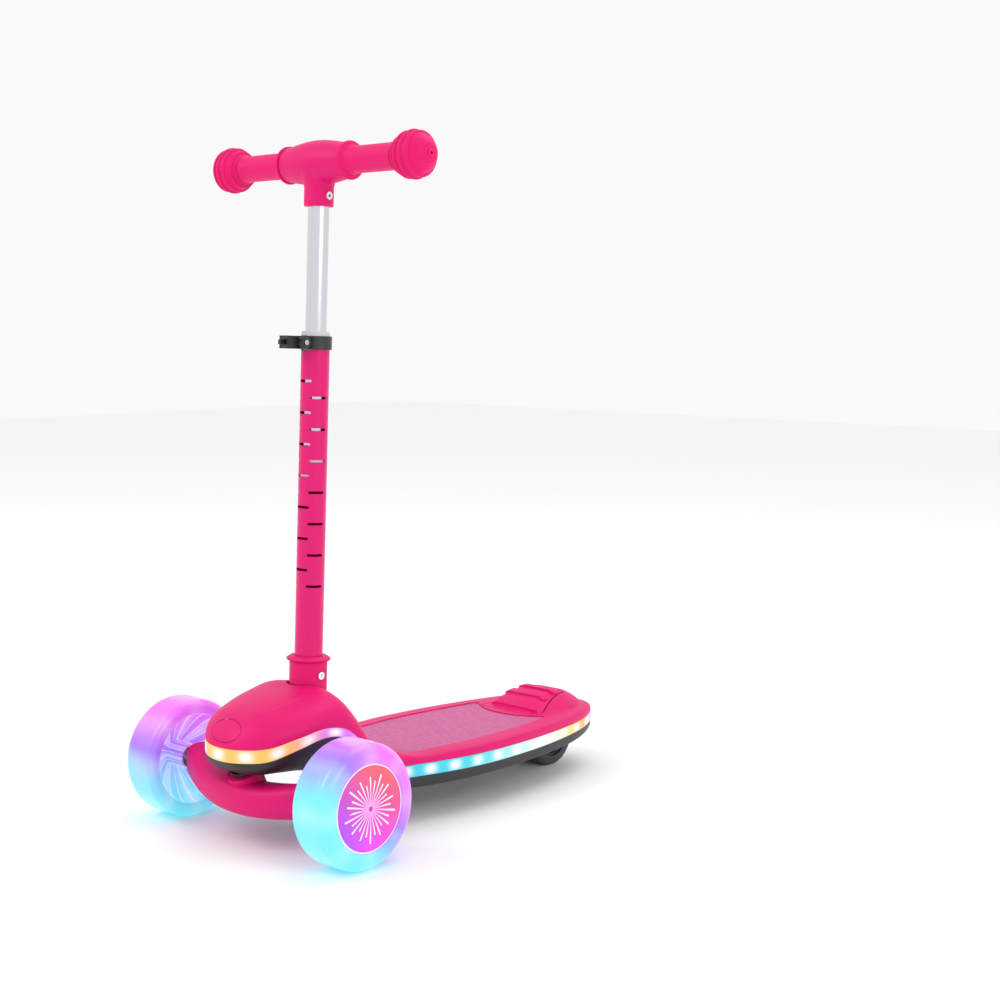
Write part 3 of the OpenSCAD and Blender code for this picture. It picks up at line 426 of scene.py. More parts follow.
def deckSkin(u, inset, side, parts=72):
    # superellipse arches over the deck at rows u, moved inwards by inset; side -1 is the underside
    rows = alongDeck(u)
    dy, dw = sideways(u)
    y = rows[:, 0] + inset * dw
    w = np.maximum(rows[:, 1] - inset * dy, 0.05)
    root = 2 / rows[:, 6][:, None]
    z0 = rows[:, 2] + side * rows[:, 5] / 2
    top = np.maximum(rows[:, 3] - inset, z0 + 0.5) if side > 0 else np.minimum(rows[:, 4] + inset, z0 - 0.5)
    a = np.linspace(0, np.pi, parts)[None, :]
    x = w[:, None] * bent(np.cos(a), root)
    z = z0[:, None] + (top - z0)[:, None] * np.abs(np.sin(a)) ** root
    yy = np.broadcast_to(y[:, None], x.shape)
    if side > 0:
        z = z + tailHump(x, yy)
    return np.stack([x, yy - deck["shift"], z], -1) * mm


def deckShell(name, u, outer, inner, side, parts=72):
    # closed shell between two skins, joined along its rim and across its ends
    out, ins = deckSkin(u, outer, side, parts), deckSkin(u, inner, side, parts)
    loop = np.concatenate([out, ins[:, ::-1]], axis=1)
    rows, cols = loop.shape[:2]
    faces = gridFaces(rows, cols, False, True).tolist()
    for first in (0, (rows - 1) * cols):  # end caps as quads between the two skins
        for j in range(cols // 2 - 1):
            faces.append([first + j, first + j + 1, first + cols - 2 - j, first + cols - 1 - j])
    return buildPiece(name, loop, faces)


def atBase(points):
    return np.asarray(points, float) - np.array([0, deck["shift"]])


def filmOutline(grow):
    # straight front, sides inside the deck's edge and a round notch that leaves room for the brake
    reach, middle = tail["notch"] - grow, tail["middle"]
    rows = alongDeck(np.arange(9, 12.95, 0.1))
    side = np.c_[rows[:, 1] - 21 + grow, rows[:, 0]]
    side = side[np.hypot(side[:, 0], side[:, 1] - middle) > reach + 0.4]
    start = math.atan2(side[-1, 0], middle - side[-1, 1])
    a = np.linspace(start - 0.02, 0, 16)
    half = np.vstack([[[40, 126.8 - grow], [46 + grow, 130.8 - grow / 2]], side,
                      np.c_[reach * np.sin(a), middle - reach * np.cos(a)]])
    return atBase(np.vstack([half, np.c_[-half[-2::-1, 0], half[-2::-1, 1]]]))


def pedalOutline(grow):
    y0, y1, wide, narrow = 358, 429, 37 + grow, 22 + grow
    return atBase([[-wide, y0 - grow], [wide, y0 - grow], [wide, y0 + 16],
                   [narrow, y1 + 1.4 * grow], [-narrow, y1 + 1.4 * grow], [-wide, y0 + 16]])


pocketHalf = 20.65
slotOutline = np.vstack([roundOutline(0, 56.8, pocketHalf, pocketHalf, 25, 2.0, 180, 187.5),
                         [[pocketHalf, 112.8], [-pocketHalf, 112.8]]])
noseButton = dict(height=115, gapWide=20, gapTall=10, wide=19.5, tall=9.5)
topShell = deckShell("topShell", deckRows(200), 0, deck["wall"], 1, 80)
filmPlate = prism("filmPlate", filmOutline(4), 64.6, 67.2)
carve(topShell, [filmPlate], "UNION")
drumProfile = [[0, -pocketHalf], [36.8, -pocketHalf], [36.8, pocketHalf], [0, pocketHalf]]
carve(topShell, [prism("slotCut", atBase(slotOutline), 66.5, 170),
                 turned("drumCut", drumProfile, foldAxis, closed=False),
                 prism("filmCut", filmOutline(0), 67.15, 90),
                 prism("pedalCut", pedalOutline(1.2), 48, 130),
                 prism("buttonCut", roundOutline(0, noseButton["height"], noseButton["gapWide"],
                                                 noseButton["gapTall"], 64), -290, -229, "Y")], crease=30)
shellPaint, tree, shader, bump = moulded("pinkDome", *shellLook, Specular_IOR_Level=0.22)
oval = dict(halfWide=0.031, middle=0.139, halfTall=0.0125, sharp=14.0, behind=-0.18, rise=0.5)
px, py, pz = spotAt(tree)  # a faint raised oval on the front of the dome, drawn as a ring of height
ovalU = calc(tree, "DIVIDE", px, oval["halfWide"])
ovalV = calc(tree, "DIVIDE", calc(tree, "SUBTRACT", pz, oval["middle"]), oval["halfTall"])
squares = [calc(tree, "POWER", calc(tree, "ABSOLUTE", v), 2.0) for v in (ovalU, ovalV)]
away = calc(tree, "ABSOLUTE", calc(tree, "SUBTRACT", calc(tree, "SQRT", calc(tree, "ADD", *squares)), 1.0))
ring = calc(tree, "SUBTRACT", 1.0, calc(tree, "MULTIPLY", away, oval["sharp"]))
ring = calc(tree, "MULTIPLY", calc(tree, "MAXIMUM", ring, 0.0), calc(tree, "LESS_THAN", py, oval["behind"]))
addBump(tree, shader, 1.0, oval["rise"], ring, Normal=bump)
dress(topShell, "deck", "shell", shellPaint, ["deck_top"])
print("top shell", len(topShell.data.polygons))

# underside
baseShell = deckShell("baseShell", deckRows(160), 0, deck["wall"], -1, 64)
steerAxis = np.array([0, -math.sin(math.radians(25)), math.cos(math.radians(25))])


def kingpinRod(name, radius, low, high, parts=64):  # closed cylinder along the kingpin
    a = 2 * np.pi * np.arange(parts) / parts
    ring = np.outer(np.cos(a), [1, 0, 0]) + np.outer(np.sin(a), np.cross(steerAxis, [1, 0, 0]))
    rows = [np.array(kingpinAt) + steerAxis * (at * mm) + ring * r * mm
            for r, at in ((0, low), (radius, low), (radius, high), (0, high))]
    return buildPiece(name, np.stack(rows), gridFaces(4, parts, False, True))


def box3(name, x0, x1, y0, y1, z0, z1):
    return prism(name, atBase([[x0, y0], [x1, y0], [x1, y1], [x0, y1]]), z0, z1)


baseCuts = [box3("wellCut", -27, 27, 375.5, 453.5, 29, 45.4), box3("nutCut", -38, 38, 404.5, 424.5, 29, 45.4),
            box3("cellCut", -26, 26, 216, 284, 33, 37.6), kingpinRod("bossCut", 18.2, 0, 32),
            prism("buttonHole", roundOutline(0, 305 - deck["shift"], 5.4, 5.4), 33, 43)]
baseCuts += [prism("screwCut", roundOutline(x, y - deck["shift"], 5, 5), 33, 43)
             for x in (-46, 46) for y in (155, 237, 335)]
carve(baseShell, baseCuts, crease=30)
earOutline = [[380.5, 43.4], [390.5, 35], [402.5, 30], [426.5, 30], [436.5, 42], [438.5, 43.4]]
earOutline = np.array(earOutline) - [deck["shift"], 0]
ear = dict(inner=24, thick=6, boss=13)


def rearEar(side):  # one of the two plates that hold the rear axle
    x0 = ear["inner"] if side > 0 else -ear["inner"] - ear["thick"]
    x1 = x0 + ear["thick"]
    plate = prism("rearEar" + ("Right" if side > 0 else "Left"), earOutline, x0, x1, "X")
    boss = turned("earBoss", [[0, x0], [ear["boss"], x0], [ear["boss"], x1], [0, x1]], rearAxle, closed=False)
    return carve(plate, [boss], "UNION")


baseShell = carve(baseShell, [rearEar(1), rearEar(-1)], "UNION", 30)
dress(baseShell, "deck", "base_black", None, ["deck_base"])
print("underside", len(baseShell.data.polygons))


# light band
band = dict(proud=0.5, deep=2.4, pitch=31.0)


def bandLoop(name, u, proud, deep, parts=14):
    # rounded strip carried round the deck outline, with its run in metres and its height as UV
    rows = alongDeck(u)
    dy, dw = sideways(u)
    a = 2 * np.pi * (np.arange(parts) + 0.5) / parts
    flat, tall = bent(np.cos(a), 0.35), bent(np.sin(a), 0.28)
    inset = (deep - proud) / 2 - flat * (deep + proud) / 2  # from -proud outside to deep inside
    y = rows[:, :1] + inset[None, :] * dw[:, None]
    w = np.maximum(rows[:, 1:2] - inset[None, :] * dy[:, None], 0.03)
    z = rows[:, 2:3] + tall[None, :] * (rows[:, 5] * 0.492)[:, None]
    half = np.stack([w, y - deck["shift"], z], -1)
    other = half[::-1] * [-1, 1, 1]
    run = np.r_[0, np.cumsum(np.hypot(np.diff(rows[:, 0]), np.diff(rows[:, 1])))] * mm
    loop = np.concatenate([half, other]) * mm
    uv = np.zeros(loop.shape[:2] + (2,))
    uv[..., 0] = np.r_[run, -run[::-1]][:, None]
    uv[..., 1] = (tall * 0.5 + 0.5)[None, :]
    return buildPiece(name, loop, gridFaces(len(loop), parts, True, True), 50, uv)


lightBand = bandLoop("lightBand", deckRows(220), band["proud"], band["deep"])
bandPaint, tree, shader = startMaterial("litBand", Roughness=0.22, Coat_Weight=0.3, Coat_Roughness=0.1)
along = add(tree, "MapRange", {0: spotAt(tree)[1], 1: -0.266, 2: 0.269, 3: 0.0, 4: 1.0})
bandColor = ramp(tree, along, [
    (0.0, tone(252, 196, 92)), (0.07, tone(252, 190, 84)), (0.115, tone(246, 180, 170)),
    (0.15, tone(226, 128, 224)), (0.205, tone(214, 108, 240)), (0.26, tone(176, 140, 250)),
    (0.32, tone(40, 204, 228)), (0.52, tone(56, 218, 230)), (0.64, tone(190, 244, 240)),
    (0.74, tone(250, 253, 252)), (0.83, tone(252, 214, 130)), (0.9, tone(246, 160, 66)),
    (0.95, tone(238, 130, 220)), (1.0, tone(214, 110, 240))])
runU, runV = add(tree, "SeparateXYZ", {0: add(tree, "UVMap", uv_map="run")}).node.outputs[:2]
wave = calc(tree, "COSINE", calc(tree, "MULTIPLY", runU, 2 * math.pi / (band["pitch"] * mm)))
spot = calc(tree, "POWER", lift(tree, wave, 0.5, 0.5), 1.7)
fromMiddle = calc(tree, "ABSOLUTE", lift(tree, runV, 2.0, -1.0))
middle = calc(tree, "SUBTRACT", 1.0, calc(tree, "POWER", fromMiddle, 2.0))
whiten = calc(tree, "MULTIPLY", calc(tree, "MULTIPLY", spot, middle), 0.95)
lit = mix(tree, whiten, bandColor, (1.0, 1.0, 0.97))
lit = mix(tree, 1.0, lit, lift(tree, noise(tree, 30.0, 3.0), 0.25, 0.87), "MULTIPLY")
link(tree, lit, shader.inputs["Emission Color"])
shader.inputs["Emission Strength"].default_value = 0.62
link(tree, mix(tree, 1.0, lit, (0.42, 0.42, 0.42), "MULTIPLY"), shader.inputs["Base Color"])
dress(lightBand, "deck", "band_clear", bandPaint, ["light_band"])
print("light band done")

# grip film
filmLook = dict(cell=0.0105, line=0.045, weave=1100.0, dot=0.42)
filmSheet = prism("gripSheet", filmOutline(-0.15), 67.25, 68.2)
filmPaint, tree, shader = startMaterial("printedFilm", Roughness=0.5)
px, py, pz = spotAt(tree)


def lineSet(turnDeg):  # counts cells across the film in one direction
    t = math.radians(turnDeg)
    return calc(tree, "ADD", calc(tree, "MULTIPLY", px, math.cos(t) / filmLook["cell"]),
                calc(tree, "MULTIPLY", py, math.sin(t) / filmLook["cell"]))


def nearWhole(value):  # distance from the nearest whole number
    return calc(tree, "ABSOLUTE", calc(tree, "SUBTRACT", value, calc(tree, "ROUND", value)))


counts = [lineSet(a) for a in (0, 60, 120)]
lines = None
for k in range(3):  # each line is drawn on two thirds of its length, so the lines close into cubes
    swing = calc(tree, "PINGPONG", calc(tree, "ADD", counts[(k + 1) % 3], float(k)), 1.5)
    thin = calc(tree, "LESS_THAN", nearWhole(counts[k]), filmLook["line"])
    mark = calc(tree, "MULTIPLY", thin, calc(tree, "GREATER_THAN", swing, 0.5))
    lines = mark if lines is None else calc(tree, "MAXIMUM", lines, mark)
dotsX, dotsY = [nearWhole(calc(tree, "MULTIPLY", v, filmLook["weave"])) for v in (px, py)]
dots = calc(tree, "LESS_THAN", calc(tree, "ADD", dotsX, dotsY), filmLook["dot"])
dust = noise(tree, 700.0, 2.0)
ground = mix(tree, lift(tree, dust, 0.5, 0.1), tone(176, 34, 112), tone(198, 84, 148))
ground = mix(tree, calc(tree, "MULTIPLY", dots, 0.5), ground, tone(216, 130, 184))
ground = mix(tree, calc(tree, "MULTIPLY", lines, 0.3), ground, tone(222, 142, 192))
link(tree, ground, shader.inputs["Base Color"])
raised = calc(tree, "ADD", calc(tree, "MULTIPLY", dots, 0.6), calc(tree, "MULTIPLY", dust, 0.5))
addBump(tree, shader, 0.6, 0.12, raised)
link(tree, lift(tree, dust, 0.25, 0.4), shader.inputs["Roughness"])
dress(filmSheet, "deck", "film", filmPaint, ["grip_film"])
print("film done")

# rear brake
brake = dict(wall=3.6, ribRise=2.4, ribs=3, ribHalf=32, ribEnd=3.5, ribY=372, ribPitch=20, low=56, high=130)
tailRows = np.linspace(11.6, 16.4, 90)


def tailPiece(name, outer, inner, outline):  # the part of the deck's tail that lies inside an outline
    plan = prism(name + "Plan", outline, brake["low"], brake["high"])
    return carve(deckShell(name, tailRows, outer, inner, 1, 80), [plan], "INTERSECT")


pedal = tailPiece("brakePedal", 0, brake["wall"], pedalOutline(0))
for k in range(brake["ribs"]):
    endX = brake["ribHalf"] - 2.6 * k - brake["ribEnd"]
    ribY = brake["ribY"] + brake["ribPitch"] * k - deck["shift"]
    rib = tailPiece("rib", -brake["ribRise"], 1, pill(endX, ribY, brake["ribEnd"], 13, 195))
    carve(pedal, [rib], "UNION")
soften = pedal.modifiers.new("soften", "BEVEL")
soften.width, soften.segments = 0.7 * mm, 2
soften.limit_method, soften.angle_limit = "ANGLE", math.radians(50)
bake(pedal)
tidyMesh(pedal, 35)
dress(pedal, "brake", "shell", None, ["brake_pedal"])
print("brake done")

# nose button
noseRows = np.linspace(0.004, 3.2, 60)
buttonPlan = roundOutline(0, noseButton["height"], noseButton["wide"], noseButton["tall"], 64)
button = carve(deckShell("noseButton", noseRows, 0, 3.4, 1, 90),
               [prism("buttonPlan", buttonPlan, -289, -229, "Y")], "INTERSECT")
pushRod = turned("buttonRod", [[0, 0], [3, 0], [3, 39], [0, 39]], (0, 0, 0), closed=False, parts=48)
co = np.zeros(len(pushRod.data.vertices) * 3)
pushRod.data.vertices.foreach_get("co", co)
co = co.reshape(-1, 3)[:, [1, 0, 2]] * [1, -1, 1] + np.array([0, -0.214, noseButton["height"] * mm])
pushRod.data.vertices.foreach_set("co", co.ravel())
carve(button, [pushRod], "UNION")
dress(button, "fold_button", "shell", None, ["fold_button"])
print("button done")

# front truck
truck = dict(reach=100.6, low=47, high=60, bulge=24)


def truckBody(name, rows=121, parts=64):
    # squarish sections swept along a crescent that bulges forward between the wheels
    x = np.linspace(-truck["reach"], truck["reach"], rows)
    t = (x / truck["reach"])[:, None] ** 2
    midY = -truck["bulge"] * np.maximum(1 - t, 0) ** 1.1 - deck["shift"]
    midZ = truck["low"] + (truck["high"] - truck["low"]) * t
    a = 2 * np.pi * np.arange(parts) / parts
    pts = np.stack([np.broadcast_to(x[:, None], (rows, parts)), midY + (21 - 5 * t) * bent(np.cos(a), 2 / 3),
                    midZ + (16 + 1.5 * t) * bent(np.sin(a), 2 / 3)], -1)
    first, end = pts[:1].mean(1, keepdims=True), pts[-1:].mean(1, keepdims=True)
    pts = np.concatenate([np.broadcast_to(first, (1, parts, 3)), pts, np.broadcast_to(end, (1, parts, 3))])
    return buildPiece(name, pts * mm, gridFaces(rows + 2, parts, False, True), 40)


truckBeam = truckBody("truckBody")
carve(truckBeam, [kingpinRod("boss", 17, -6, 19)], "UNION")
carve(truckBeam, [kingpinRod("pinBore", 5.05, -60, 60), kingpinRod("headBore", 11, -44, -15.5)])
dress(truckBeam, "truck", "shell", None, ["truck_beam"])
print("truck done")

# front wheels
wheel = dict(way={1: (0.6, 0.53), -1: (0.3, 0.95)}, dishWay=(0.2, 0.98), radius=60, width=44.7, inner=103.6,
             rays=28, blades=20, place=(0, -0.209, 0.060))


def wheelProfile():
    # rounded tread closed by the inner bore, as radius and distance from the wheel's inner side
    r, w = wheel["radius"], wheel["width"]
    inA = np.radians(np.linspace(0, 90, 12))
    outA = np.radians(np.linspace(0, 90, 16))
    crown = np.linspace(8, w - 12, 9)
    tread = np.c_[r - 0.5 * ((crown - w / 2) / (w / 2)) ** 2, crown]
    return np.vstack([[[46, 2.5], [48.5, 0.5]],
                      np.c_[r - 7.1 + 7 * np.sin(inA), 7 * (1 - np.cos(inA))], tread,
                      np.c_[r - 11 + 10.9 * np.cos(outA), w - 11 + 10.9 * np.sin(outA)],
                      [[42.9, w - 0.1], [42.3, w - 0.8], [41.9, w - 2.6], [46, w - 5]]])


def glowMaterial(name, stops, strength, share, way, rough=0.28, spokes=0):
    # light that changes colour across the wheel along way (Y, Z), with soft bright patches
    made, tree, shader = startMaterial(name, Roughness=rough, Coat_Weight=0.25, Coat_Roughness=0.12)
    x, y, z = spotAt(tree, wheel["place"])
    t = calc(tree, "ADD", calc(tree, "MULTIPLY", y, way[0] / 0.12), calc(tree, "MULTIPLY", z, way[1] / 0.12))
    t = calc(tree, "ADD", calc(tree, "ADD", t, 0.5), lift(tree, noise(tree, 22.0, 2.0), 0.24, -0.12))
    color = ramp(tree, t, stops)
    angle = calc(tree, "ARCTAN2", z, y)

    def beats(count, power):  # bright beats round the wheel
        wave = calc(tree, "COSINE", calc(tree, "MULTIPLY", angle, float(count)))
        return calc(tree, "POWER", lift(tree, wave, 0.5, 0.5), power)

    patch = calc(tree, "MULTIPLY", beats(8, 2.0), noise(tree, 45.0, 3.0))
    color = mix(tree, calc(tree, "MULTIPLY", patch, share), color, (1.0, 1.0, 1.0))
    if spokes:  # clear ribs catch the light as thin pale lines
        color = mix(tree, calc(tree, "MULTIPLY", beats(spokes, 14.0), 0.55), color, (1.0, 1.0, 1.0))
    link(tree, color, shader.inputs["Emission Color"])
    shader.inputs["Emission Strength"].default_value = strength
    link(tree, mix(tree, 1.0, color, (0.42, 0.42, 0.46), "MULTIPLY"), shader.inputs["Base Color"])
    addBump(tree, shader, 0.4, 0.08, noise(tree, 260.0, 3.0))
    return made


cyan, sky, blue, violet = tone(120, 236, 252), tone(140, 210, 255), tone(140, 165, 255), tone(168, 120, 250)
orchid, magenta, peach = tone(214, 130, 248), tone(238, 112, 248), tone(240, 160, 190)
treadStops = {1: [(0.05, cyan), (0.28, cyan), (0.36, sky), (0.45, blue), (0.55, violet), (0.7, orchid),
                  (0.85, magenta), (0.97, peach)],
              -1: [(0.06, cyan), (0.3, sky), (0.5, violet), (0.68, orchid), (0.85, magenta), (1.0, magenta)]}
glow, dishGlow = {}, {}
for side, ending in ((1, "Near"), (-1, "Far")):
    glow[side] = glowMaterial("wheelGlow" + ending, treadStops[side], 0.6, 0.28, wheel["way"][side])
    dishGlow[side] = glowMaterial("dishGlow" + ending, treadStops[side], 0.66, 0.6, wheel["dishWay"], 0.2,
                                  wheel["blades"])


def capMaterial(side):
    # printed sun of rays in a few lengths on a colour from red through magenta to violet, lit from behind
    made, tree, shader = startMaterial("capSun" + ("Right" if side > 0 else "Left"), Roughness=0.22,
                                       Coat_Weight=0.4, Coat_Roughness=0.06)
    x, y, z = spotAt(tree, wheel["place"])
    radius = calc(tree, "SQRT", calc(tree, "ADD", calc(tree, "MULTIPLY", y, y), calc(tree, "MULTIPLY", z, z)))
    raysPerTurn = wheel["rays"] / (2 * math.pi)
    turnAt = calc(tree, "MULTIPLY", calc(tree, "ARCTAN2", z, y), raysPerTurn)
    number = calc(tree, "ROUND", turnAt)
    # sideways distance from the ray's middle line
    aside = calc(tree, "ABSOLUTE", calc(tree, "SUBTRACT", turnAt, number))
    aside = calc(tree, "MULTIPLY", calc(tree, "MULTIPLY", aside, 1 / raysPerTurn), radius)
    thick = lift(tree, radius, 0.016, 0.00042)
    odd = calc(tree, "PINGPONG", number, 1.0)
    third = calc(tree, "LESS_THAN", calc(tree, "PINGPONG", calc(tree, "ADD", number, 1.0), 3.0), 1.5)
    reach = lift(tree, odd, 0.0068, lift(tree, third, 0.0028, 0.0232))
    near, within = calc(tree, "LESS_THAN", aside, thick), calc(tree, "LESS_THAN", radius, reach)
    ray = calc(tree, "MULTIPLY", near, within)
    ray = calc(tree, "MULTIPLY", ray, calc(tree, "GREATER_THAN", radius, 0.0026))
    upwards = calc(tree, "ADD", calc(tree, "MULTIPLY", z, 0.9), calc(tree, "MULTIPLY", y, 0.25))
    toTop, toFront = lift(tree, upwards, 12.0, 0.5), lift(tree, y, -11.0, 0.35)
    ground = ramp(tree, toTop, [(0.0, tone(236, 60, 240)), (0.35, tone(228, 52, 190)),
                                (0.62, tone(224, 56, 130)), (0.95, tone(238, 84, 92))])
    violetShare = calc(tree, "MULTIPLY", calc(tree, "SUBTRACT", 1.15, toTop),
                       add(tree, "MapRange", {0: toFront, 1: 0.3, 2: 0.8, 3: 0.0, 4: 0.95}))
    ground = mix(tree, violetShare, ground, tone(138, 66, 238))
    fade = add(tree, "MapRange", {0: radius, 1: 0.004, 2: 0.026, 3: 0.75, 4: 0.05})
    color = mix(tree, ray, ground, mix(tree, fade, tone(255, 236, 246), tone(240, 110, 224)))
    color = mix(tree, calc(tree, "LESS_THAN", radius, 0.0021), color, tone(190, 40, 160))
    color = mix(tree, calc(tree, "GREATER_THAN", radius, 0.0402), color, tone(255, 214, 244))
    color = mix(tree, 1.0, color, lift(tree, noise(tree, 38.0, 2.0), 0.3, 0.85), "MULTIPLY")
    link(tree, color, shader.inputs["Emission Color"])
    shader.inputs["Emission Strength"].default_value = 0.5
    link(tree, mix(tree, 1.0, color, (0.6, 0.6, 0.6), "MULTIPLY"), shader.inputs["Base Color"])
    raised = calc(tree, "ADD", calc(tree, "MULTIPLY", noise(tree, 300.0, 2.0), 0.12),
                  calc(tree, "MULTIPLY", ray, 0.6))
    addBump(tree, shader, 0.5, 0.12, raised)
    return made


def dishCurve(t, drop=31, start=3):  # radius and depth of the bowl from its rim (0) to its middle (1)
    return 46 - drop * t, start + (wheel["width"] - 15) * t ** 0.6


def dishBlades(side, centre):  # corners of thin radial ribs that stand out of the bowl
    t = np.linspace(0.04, 0.96, 12)
    r, x = dishCurve(t)
    stand = 2.2 * np.sin(np.pi * t) ** 0.5 + 0.2
    made = []
    for k in range(wheel["blades"]):
        a = 2 * math.pi * (k + 0.5) / wheel["blades"]
        across = np.array([0, math.cos(a), -math.sin(a)]) * 0.45
        out = np.outer(r, [0, math.sin(a), math.cos(a)])
        low, top = out + np.outer(side * (x + 0.6), [1, 0, 0]), out + np.outer(side * (x - stand), [1, 0, 0])
        made.append(np.stack([low - across, top - across, top + across, low + across], 1))
    return np.array(made).reshape(-1, 3) * mm + np.array(centre)


for side, name in ((1, "right"), (-1, "left")):
    w, body = wheel["width"], "wheel_" + name
    centre = (side * wheel["inner"] * mm, wheel["place"][1], wheel["place"][2])
    tyre = turned("tyre" + name.title(), wheelProfile(), centre, side, 160, 40)
    dress(tyre, body, "wheel_clear", glow[side], ["tyre_" + name])
    down = np.linspace(0, 1, 20)
    tube = [[14.4, w - 10], [12, w - 9], [12, 9.4], [13.4, 9.4], [13.4, w - 14]]
    bowlProfile = np.vstack([np.c_[dishCurve(down)], tube, np.c_[dishCurve(down[::-1], 30.6, 4.6)]])
    bowl = turned("dish" + name.title(), bowlProfile, centre, side, 120, 40)
    dress(bowl, body, "hub_clear", dishGlow[side], ["hub_" + name])
    faces = np.concatenate([gridFaces(12, 4, False, True) + 48 * k for k in range(wheel["blades"])])
    ribs = buildPiece("ribs" + name.title(), dishBlades(side, centre), faces)
    dress(ribs, body, "hub_clear", dishGlow[side])
    t = np.linspace(0, 1, 14)
    capProfile = np.vstack([np.c_[41.4 * t, w - 0.1 - 1.5 * t ** 3],
                            [[41.4, w - 8.6], [40.2, w - 8.6], [40.2, w - 3.4], [0, w - 2]]])
    cap = turned("cap" + name.title(), capProfile, centre, side, 128, 30, closed=False)
    dress(cap, body, "cap_print", capMaterial(side), ["hubcap_" + name])
print("front wheels done")

# rear wheel
rear = dict(radius=35, half=22, bore=24.2, corner=5, groove=0.7, grooveHalf=0.8)
span = np.linspace(-rear["half"], rear["half"], 121)
edge = np.clip((rear["half"] - np.abs(span)) / rear["corner"], 0, 1)
grooves = np.clip(1 - ((span[:, None] - np.linspace(-16, 16, 9)) / rear["grooveHalf"]) ** 2, 0, 1)
rounding = rear["corner"] * (1 - np.sqrt(1 - (1 - edge) ** 2))
tread = rear["radius"] - rounding - rear["groove"] * np.max(grooves, axis=1)
rearProfile = np.vstack([np.c_[tread, span], [[rear["bore"], rear["half"]], [rear["bore"], -rear["half"]]]])
rearTyre = turned("rearTyre", rearProfile, rearAxle, 1, 128, 50)
dress(rearTyre, "rear_wheel", "rear_tread", None, ["rear_tyre"])
print("rear wheel done")

# stem
lean = math.radians(2)
pivot = np.array(foldAxis)
stemUp = np.array([0, math.sin(lean), math.cos(lean)])
stemBack = np.array([0, math.cos(lean), -math.sin(lean)])


def stemPoint(points):  # points in mm in the stem's own axes, as scene positions
    p = np.asarray(points, float) * mm
    return pivot + p[..., :1] * [1, 0, 0] + p[..., 1:2] * stemBack + p[..., 2:3] * stemUp


def stemTurned(name, profile, parts=96, crease=35, closed=True, groove=None):
    # profile of (radius, height) points carried round the stem; groove(angle) takes a little off the radius
    profile = np.array(profile, float)
    angle = 2 * np.pi * np.arange(parts) / parts
    cut = np.zeros(parts) if groove is None else groove(angle)
    r = profile[:, 0][:, None] - np.where(profile[:, 0] > 10.2, 1, 0)[:, None] * cut[None, :]
    z = np.broadcast_to(profile[:, 1][:, None], r.shape)
    pts = np.stack([r * np.sin(angle), -r * np.cos(angle), z], -1)
    return buildPiece(name, stemPoint(pts), gridFaces(len(profile), parts, closed, True), crease)


def slotBlock(name, angle, z, width=15.8, tall=2.6):  # rounded slot cutter that points out at an angle
    o = pill((width - tall) / 2, z, tall / 2, 9, 202.5)
    t = math.radians(angle)
    across, out = np.array([math.cos(t), math.sin(t), 0]), np.array([math.sin(t), -math.cos(t), 0])
    pts = [o[:, :1] * across + np.outer(o[:, 1], [0, 0, 1]) + out * v for v in (9, 17)]
    return buildPiece(name, stemPoint(np.concatenate(pts)), sideFaces(len(o)))


lower = dict(r=14, bore=12.5, low=34, high=381, pitch=30.8)
lowerProfile = [[lower["r"], lower["low"]], [lower["r"], 380.4], [13.4, lower["high"]],
                [lower["bore"], lower["high"]], [lower["bore"], lower["low"]]]
lowerTube = stemTurned("lowerStem", lowerProfile, 128)
slots = []
for angle, drop, count in ((0, 228.4, 8), (65, 244.6, 7), (-65, 244.6, 7)):
    slots += [slotBlock("slot", angle, lower["high"] - drop + lower["pitch"] * k) for k in range(count)]
carve(lowerTube, slots, crease=30)
dress(lowerTube, "stem", "stem_paint", None, ["lower_tube"])
print("lower tube done")

upper = dict(r=10.35, bore=8.95, low=247, high=536, groove=0.75, grooveHalf=0.21)


def grooveCut(angle):  # shallow lengthwise groove on the front
    off = np.abs((angle + np.pi) % (2 * np.pi) - np.pi)
    return upper["groove"] * np.clip(1 - (off / upper["grooveHalf"]) ** 4, 0, 1)


upperProfile = [[upper["r"], upper["low"]], [upper["r"], upper["high"]],
                [upper["bore"], upper["high"]], [upper["bore"], upper["low"]]]
upperTube = stemTurned("upperStem", upperProfile, 192, 50, True, grooveCut)
brushed, tree, shader, bump = moulded("brushedTube", tone(214, 216, 222), 0.2, 700, 0.004, 0.1, 0.1,
                                      Metallic=1.0, Anisotropic=0.4)
drawn = add(tree, "Mapping", {0: add(tree, "TexCoord", out=3), 3: (1, 1, 0.012)})  # stretched along the tube
streaks = add(tree, "TexNoise", {"Vector": drawn, "Scale": 2600.0, "Detail": 3.0})
link(tree, lift(tree, streaks, 0.16, 0.14), shader.inputs["Roughness"])
link(tree, streaks, bump.node.inputs["Height"])
bump.node.inputs["Distance"].default_value = 0.006 * mm
dress(upperTube, "handlebar", "tube_bright", brushed, ["upper_tube"])
print("upper tube done")


def barTurned(name, profile, z, parts=96, crease=35, closed=True, side=1):
    # profile of (radius, x) points carried round the handlebar's axis at height z on the stem
    profile = np.array(profile, float)
    angle = 2 * np.pi * np.arange(parts) / parts
    r, x = profile[:, 0][:, None], profile[:, 1][:, None]
    along = np.broadcast_to(side * x, (len(profile), parts))
    pts = np.stack([along, r * np.cos(angle), z + r * np.sin(angle)], -1)
    return buildPiece(name, stemPoint(pts), gridFaces(len(profile), parts, closed, True), crease)


def melt(piece, size, rounds, crease=60):  # fuses touching shapes and rounds their inner corners
    step = piece.modifiers.new("melt", "REMESH")
    step.mode, step.voxel_size, step.use_smooth_shade = "VOXEL", size * mm, True
    soft = piece.modifiers.new("soften", "SMOOTH")
    soft.factor, soft.iterations = 0.5, rounds
    bake(piece)
    tidyMesh(piece, crease)
    return piece


